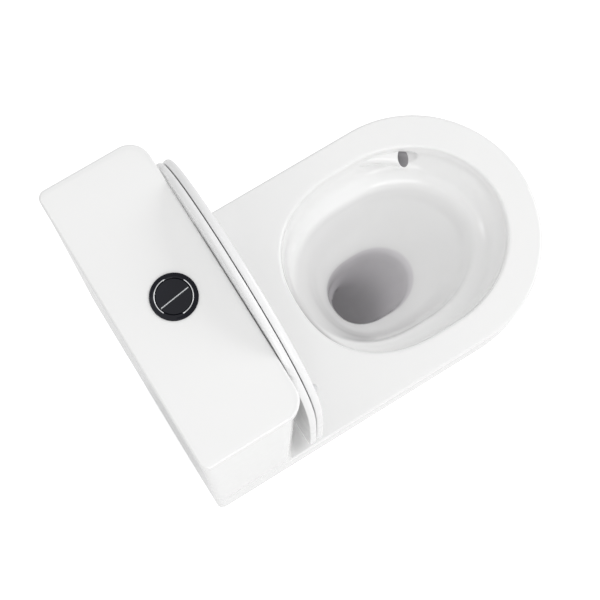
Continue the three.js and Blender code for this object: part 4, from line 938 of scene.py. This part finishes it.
# the seat and its lid, raised; both are laid out lowered, forwards of the hinge line and up from it
seatShape = {"axisDepth": 166, "axisZ": 414, "raised": 92.2, "half": 185.5, "length": 460, "widest": 112,
             "roundness": 4.4, "corner": 13, "taper": 3.5, "edge": 3.2, "notch": 8.9, "notchFlare": 1.075,
             "barrel": 7.7, "barrelBevel": 0.8}
# rear: how far behind the hinge line; notch and barrel: where they begin and end on each side
coverShape = {"rear": 8, "under": 3.7, "back": 13.2, "noseDrop": 1.6, "noseReach": 40,
              "notch": (40.3, 85.5), "barrel": (85.5, 113.5)}
ringSeatShape = {"rear": 2.5, "inset": 1, "under": -7, "back": 2.5, "notch": (69.5, 114.7),
                 "barrel": (41.5, 69.5), "holeHalf": 112, "holeRear": 102, "holeRearMid": 234,
                 "holeFrontMid": 254, "holeFront": 380, "holeRound": 9, "holeDeep": 5,
                 "holeFoot": (0, 0.6, 3), "holeFootUp": (3, 1, 0)}
bufferShape = {"power": 3.4, "shrink": 0.99, "rows": 17, "around": 32}
raisedBy = math.radians(seatShape["raised"])
slabCentre = (0, 240)


def raisedPlace(points):
    # from (x, forwards of the hinge, up from it) in millimetres to the raised place in the scene: a
    # turn by raisedBy about the hinge line
    x, forwards, up = points[..., 0], points[..., 1], points[..., 2]
    depth = seatShape["axisDepth"] + forwards * math.cos(raisedBy) - up * math.sin(raisedBy)
    z = seatShape["axisZ"] + forwards * math.sin(raisedBy) + up * math.cos(raisedBy)
    return inScene(x, depth, z)


def loweredPlace(points):
    # the reverse of raisedPlace
    ahead = (wall - points[:, 1]) / mm - seatShape["axisDepth"]
    z = points[:, 2] / mm - seatShape["axisZ"]
    return np.stack([points[:, 0] / mm, z * math.sin(raisedBy) + ahead * math.cos(raisedBy),
                     z * math.cos(raisedBy) - ahead * math.sin(raisedBy)], -1)


def slabOutline(rear, notch, inset=0.0):
    # seen from above: round rear corners, a notch in the rear edge on either side, sides that draw in
    # towards the hinge by a square law, and in front (x / half)^2 + (run / reach)^roundness = 1 from
    # the widest place
    shape = seatShape
    half, corner, widest = shape["half"] - inset, shape["corner"] - inset, shape["widest"]
    narrow = half - shape["taper"]
    side = np.linspace(corner - rear + 2, widest, 24)
    side = np.stack([narrow + shape["taper"] * (1 - (1 - side / widest) ** 2), side], -1)
    turn = np.linspace(0, math.pi, 400)
    run = (shape["length"] - inset - widest) * np.sin(turn) ** (2 / shape["roundness"])
    front = np.stack([-half * np.cos(turn), widest + run], -1)
    low, high = notch
    inner, outer = shape["notch"] + inset, inset - rear
    rearEdge = np.array([(high * shape["notchFlare"], outer), (high, inner), (low, inner), (low, outer)])
    return np.concatenate([
        side[::-1], arcPoints(narrow - corner, corner + outer, corner, 0, 90), rearEdge,
        rearEdge[::-1] * (-1, 1), arcPoints(corner - narrow, corner + outer, corner, 90, 180),
        side * (-1, 1), front])


def slabHeading(rear, notch):
    # rays to the slab's outline, crowded at its rear corners, with extra ones to the notch's corners
    # and just beside them, which keep its sides upright; the flared corner is rounded to a tenth
    low, high = notch
    inner = seatShape["notch"]
    flared = round(high * seatShape["notchFlare"], 1)
    corners = ((flared, -rear), (high, inner), (high - 0.2, inner), (low, inner), (low, -rear),
               (low + 0.2, inner), (low - 0.2, -rear))
    exact = [math.degrees(math.atan2(x, slabCentre[1] - ahead)) for x, ahead in corners]
    return headings(260, ((36.0, 3.0, 5),), exact)


def slabRim(reach, low, high):
    # the rim of a slab as (reach, height): half an ellipse from the underside round to the top
    turn = np.radians(np.linspace(-90, 90, 13))[:, None]
    return (reach - seatShape["edge"] * (1 - np.cos(turn)),
            (low + high) / 2 + (high - low) / 2 * np.sin(turn) + 0 * reach)


def slabGrid(reach, height, heading):
    # the raised places of points so far along each ray, at those heights
    x = slabCentre[0] + reach * np.sin(heading)
    return raisedPlace(np.stack([x, slabCentre[1] - reach * np.cos(heading), height + 0 * x], -1))


def barrelShells(span, around=36):
    # a bar along the hinge line on either side, with softened ends that close to a point
    radius, bevel = seatShape["barrel"], seatShape["barrelBevel"]
    turn = np.linspace(0, 2 * math.pi, around, endpoint=False)
    across = np.array([[0.0001], [radius - bevel], [radius], [radius], [radius - bevel], [0.0001]])
    shells = []
    for side in (-1, 1):
        low, high = sorted((side * span[0], side * span[1]))
        along = np.array([[low], [low], [low + bevel], [high - bevel], [high], [high]]) + 0 * turn
        bar = raisedPlace(np.stack([along, across * np.cos(turn), across * np.sin(turn)], -1))
        shells.append((bar, False, True))
    return shells


def coverBack(reach, heading):
    # how high the cover's back lies: flat, falling by a square law over noseReach before the nose
    ahead = slabCentre[1] - reach * np.cos(heading)
    nose = np.clip(1 - (seatShape["length"] - ahead) / coverShape["noseReach"], 0, 1)
    return coverShape["back"] - coverShape["noseDrop"] * nose**2


def coverGrid(shape):
    # from the middle of the underside out to the rim, round it and back in to the middle of the back
    heading = slabHeading(shape["rear"], shape["notch"])
    outline = rayHits(slabOutline(shape["rear"], shape["notch"]), slabCentre, heading)
    reach, height = slabRim(outline, shape["under"], coverBack(outline, heading))
    inwards = np.concatenate([np.linspace(0.99, 0.6, 24), np.linspace(0.5, 0, 6)])[:, None]
    back = reach[-1] * inwards
    under = reach[0] * inwards[::-1]
    return slabGrid(np.concatenate([under, reach, back]),
                    np.concatenate([shape["under"] + 0 * under, height, coverBack(back, heading)]), heading)


def seatGrid(shape):
    # round the rim, in across the top, down the hole's rounded edge and back out along the underside
    heading = slabHeading(shape["rear"], shape["notch"])
    outline = rayHits(slabOutline(shape["rear"], shape["notch"], shape["inset"]), slabCentre, heading)
    reach, height = slabRim(outline, shape["under"], shape["back"])
    holeOutline = eggOutline(shape["holeHalf"], shape["holeRear"], shape["holeRearMid"],
                             shape["holeFrontMid"], shape["holeFront"])
    hole = rayHits(holeOutline, slabCentre, heading)
    turn = np.radians(np.linspace(0, 90, 8))[:, None]
    share = np.linspace(0, 1, 7)[1:-1, None]
    foot = np.array(shape["holeFoot"])[:, None]
    footUp = np.array(shape["holeFootUp"])[:, None]
    top = reach[-1] + (hole + shape["holeRound"] - reach[-1]) * share
    under = hole + foot[-1] + (reach[0] - hole - foot[-1]) * share
    rows = [reach, top, hole + shape["holeRound"] * (1 - np.sin(turn)), hole + foot, under]
    heights = [height, shape["back"] + 0 * top,
               shape["back"] - shape["holeDeep"] * (1 - np.cos(turn)) + 0 * hole,
               shape["under"] + footUp + 0 * hole, shape["under"] + 0 * under]
    return slabGrid(np.concatenate(rows), np.concatenate(heights), heading)


def bufferGrid(node, shape):
    # a rounded block that fills the built buffer's own length, width and height: the superellipsoid
    # |x|^p + |u|^p + |v|^p = 1, squared up by the power
    corners = loweredPlace(np.array([node.matrix_world @ vertex.co for vertex in node.data.vertices]))
    low, high = corners.min(0), corners.max(0)
    lift = np.linspace(-math.pi / 2, math.pi / 2, shape["rows"])[:, None]
    turn = np.linspace(0, 2 * math.pi, shape["around"], endpoint=False)
    way = np.stack([np.cos(lift) * np.cos(turn), np.cos(lift) * np.sin(turn), np.sin(lift) + 0 * turn], -1)
    way /= (np.abs(way) ** shape["power"]).sum(-1, keepdims=True) ** (1 / shape["power"])
    return raisedPlace((low + high) / 2 + way * (high - low) / 2 * shape["shrink"])


cover = makePiece("toilet_lid_moulding",
                  [(coverGrid(coverShape), False, True), *barrelShells(coverShape["barrel"])],
                  materials["seatGloss"])
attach(cover, "toilet_lid")
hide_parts("toilet_lid")
seat = makePiece("toilet_seat_moulding",
                 [(seatGrid(ringSeatShape), True, True), *barrelShells(ringSeatShape["barrel"])],
                 materials["seatGloss"])
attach(seat, "toilet_seat")
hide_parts("toilet_seat")
for node in sorted(name for name in frame["nodes"] if "_buffer_" in name):
    pad = makePiece(node + "_pad", [(bufferGrid(frame["nodes"][node], bufferShape), False, True)],
                    materials["clearBuffer"])
    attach(pad, "toilet_lid" if node.startswith("lid") else "toilet_seat")
    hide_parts(node)
print("seat and lid:", len(seat.data.polygons), len(cover.data.polygons), "faces")


# floor, light and camera
floorLook = {"half": 6, "colour": 0.82, "roughness": 0.9, "specular": 0.1, "lift": 0.6,
             "mirroredLift": 0.15}
lightLook = {"sky": 0.615, "lamps": (
    {"name": "overhead", "place": (0.2, 0.9, 3.2), "aim": (0, 0, 0.4), "size": 2.2, "power": 8.5},
    {"name": "frontHigh", "place": (-0.6, -2.4, 2.2), "aim": (0, 0, 0.4), "size": 1.8, "power": 26},
    {"name": "sideLow", "place": (-2.2, 0.6, 1.6), "aim": (0, 0, 0.4), "size": 1.6, "power": 15},
    {"name": "accent", "place": (1.04, 0.92, 2.65), "aim": (0, 0.1, 0.6), "size": 0.5, "power": 1.3},
)}
viewLook = {"place": (-0.36633, 0.34185, 2.33951), "lens": 83.126,
            "right": (-0.528909, -0.848443, 0.020012), "up": (0.827996, -0.5107, 0.231536),
            "back": (-0.186225, 0.139031, 0.972621)}


def mathNode(nodes, links, operation, first, second):
    # a sum or the like of a socket and either a second socket or a fixed value
    node = nodes.new("ShaderNodeMath")
    node.operation = operation
    links.new(first, node.inputs[0])
    if isinstance(second, (int, float)):
        node.inputs[1].default_value = second
    else:
        links.new(second, node.inputs[1])
    return node.outputs[0]


def makeFloor(look):
    # a pale floor that glows a little to the camera, and less in reflections
    half = look["half"]
    mesh = bpy.data.meshes.new("floor")
    mesh.from_pydata([(-half, -half, 0), (half, -half, 0), (half, half, 0), (-half, half, 0)], [],
                     [(0, 1, 2, 3)])
    floor = bpy.data.objects.new("floor", mesh)
    bpy.context.scene.collection.objects.link(floor)
    material, nodes, links, shader = newMaterial("paleFloor")
    shader.inputs["Base Color"].default_value = (look["colour"], look["colour"], look["colour"], 1)
    shader.inputs["Roughness"].default_value = look["roughness"]
    shader.inputs["Specular IOR Level"].default_value = look["specular"]
    rays = nodes.new("ShaderNodeLightPath")
    seen = mathNode(nodes, links, "MULTIPLY", rays.outputs["Is Camera Ray"], look["lift"])
    mirrored = mathNode(nodes, links, "MULTIPLY", rays.outputs["Is Glossy Ray"], look["mirroredLift"])
    glow = nodes.new("ShaderNodeEmission")
    glow.inputs["Color"].default_value = (1, 1, 1, 1)
    links.new(mathNode(nodes, links, "ADD", seen, mirrored), glow.inputs["Strength"])
    added = nodes.new("ShaderNodeAddShader")
    links.new(shader.outputs[0], added.inputs[0])
    links.new(glow.outputs[0], added.inputs[1])
    output = next(node for node in nodes if node.type == "OUTPUT_MATERIAL")
    links.new(added.outputs[0], output.inputs[0])
    mesh.materials.append(material)
    return floor


def makeSky(look):
    # white to the camera and through clear pieces, dimmer as a light
    world = bpy.data.worlds.new("room")
    bpy.context.scene.world = world
    world.use_nodes = True
    nodes, links = world.node_tree.nodes, world.node_tree.links
    nodes.clear()
    rays = nodes.new("ShaderNodeLightPath")
    seen = mathNode(nodes, links, "MAXIMUM", rays.outputs["Is Camera Ray"],
                    rays.outputs["Is Transmission Ray"])
    sky = nodes.new("ShaderNodeBackground")
    sky.inputs["Color"].default_value = (1, 1, 1, 1)
    links.new(ramp(nodes, links, seen, look["sky"], 1.0), sky.inputs["Strength"])
    output = nodes.new("ShaderNodeOutputWorld")
    links.new(sky.outputs[0], output.inputs[0])


def makeLamp(look):
    # a square lamp whose -Z faces what it aims at
    lamp = bpy.data.lights.new(look["name"], "AREA")
    lamp.size = look["size"]
    lamp.energy = look["power"]
    holder = bpy.data.objects.new(look["name"], lamp)
    bpy.context.scene.collection.objects.link(holder)
    holder.location = look["place"]
    way = Vector(look["aim"]) - Vector(look["place"])
    holder.rotation_euler = way.to_track_quat("-Z", "Y").to_euler()


def makeCamera(look):
    # a camera at place whose own axes are right, up and back
    camera = bpy.data.cameras.new("camera")
    camera.lens = look["lens"]
    camera.sensor_width = 36
    camera.clip_end = 50
    holder = bpy.data.objects.new("camera", camera)
    bpy.context.scene.collection.objects.link(holder)
    axes = Matrix((look["right"], look["up"], look["back"])).transposed()
    holder.matrix_world = Matrix.Translation(look["place"]) @ axes.to_4x4()
    return holder


floor = makeFloor(floorLook)
makeSky(lightLook)
for lampLook in lightLook["lamps"]:
    makeLamp(lampLook)
bpy.context.scene.camera = makeCamera(viewLook)
bpy.context.scene.view_settings.view_transform = "Standard"
print("lamps:", len(lightLook["lamps"]))
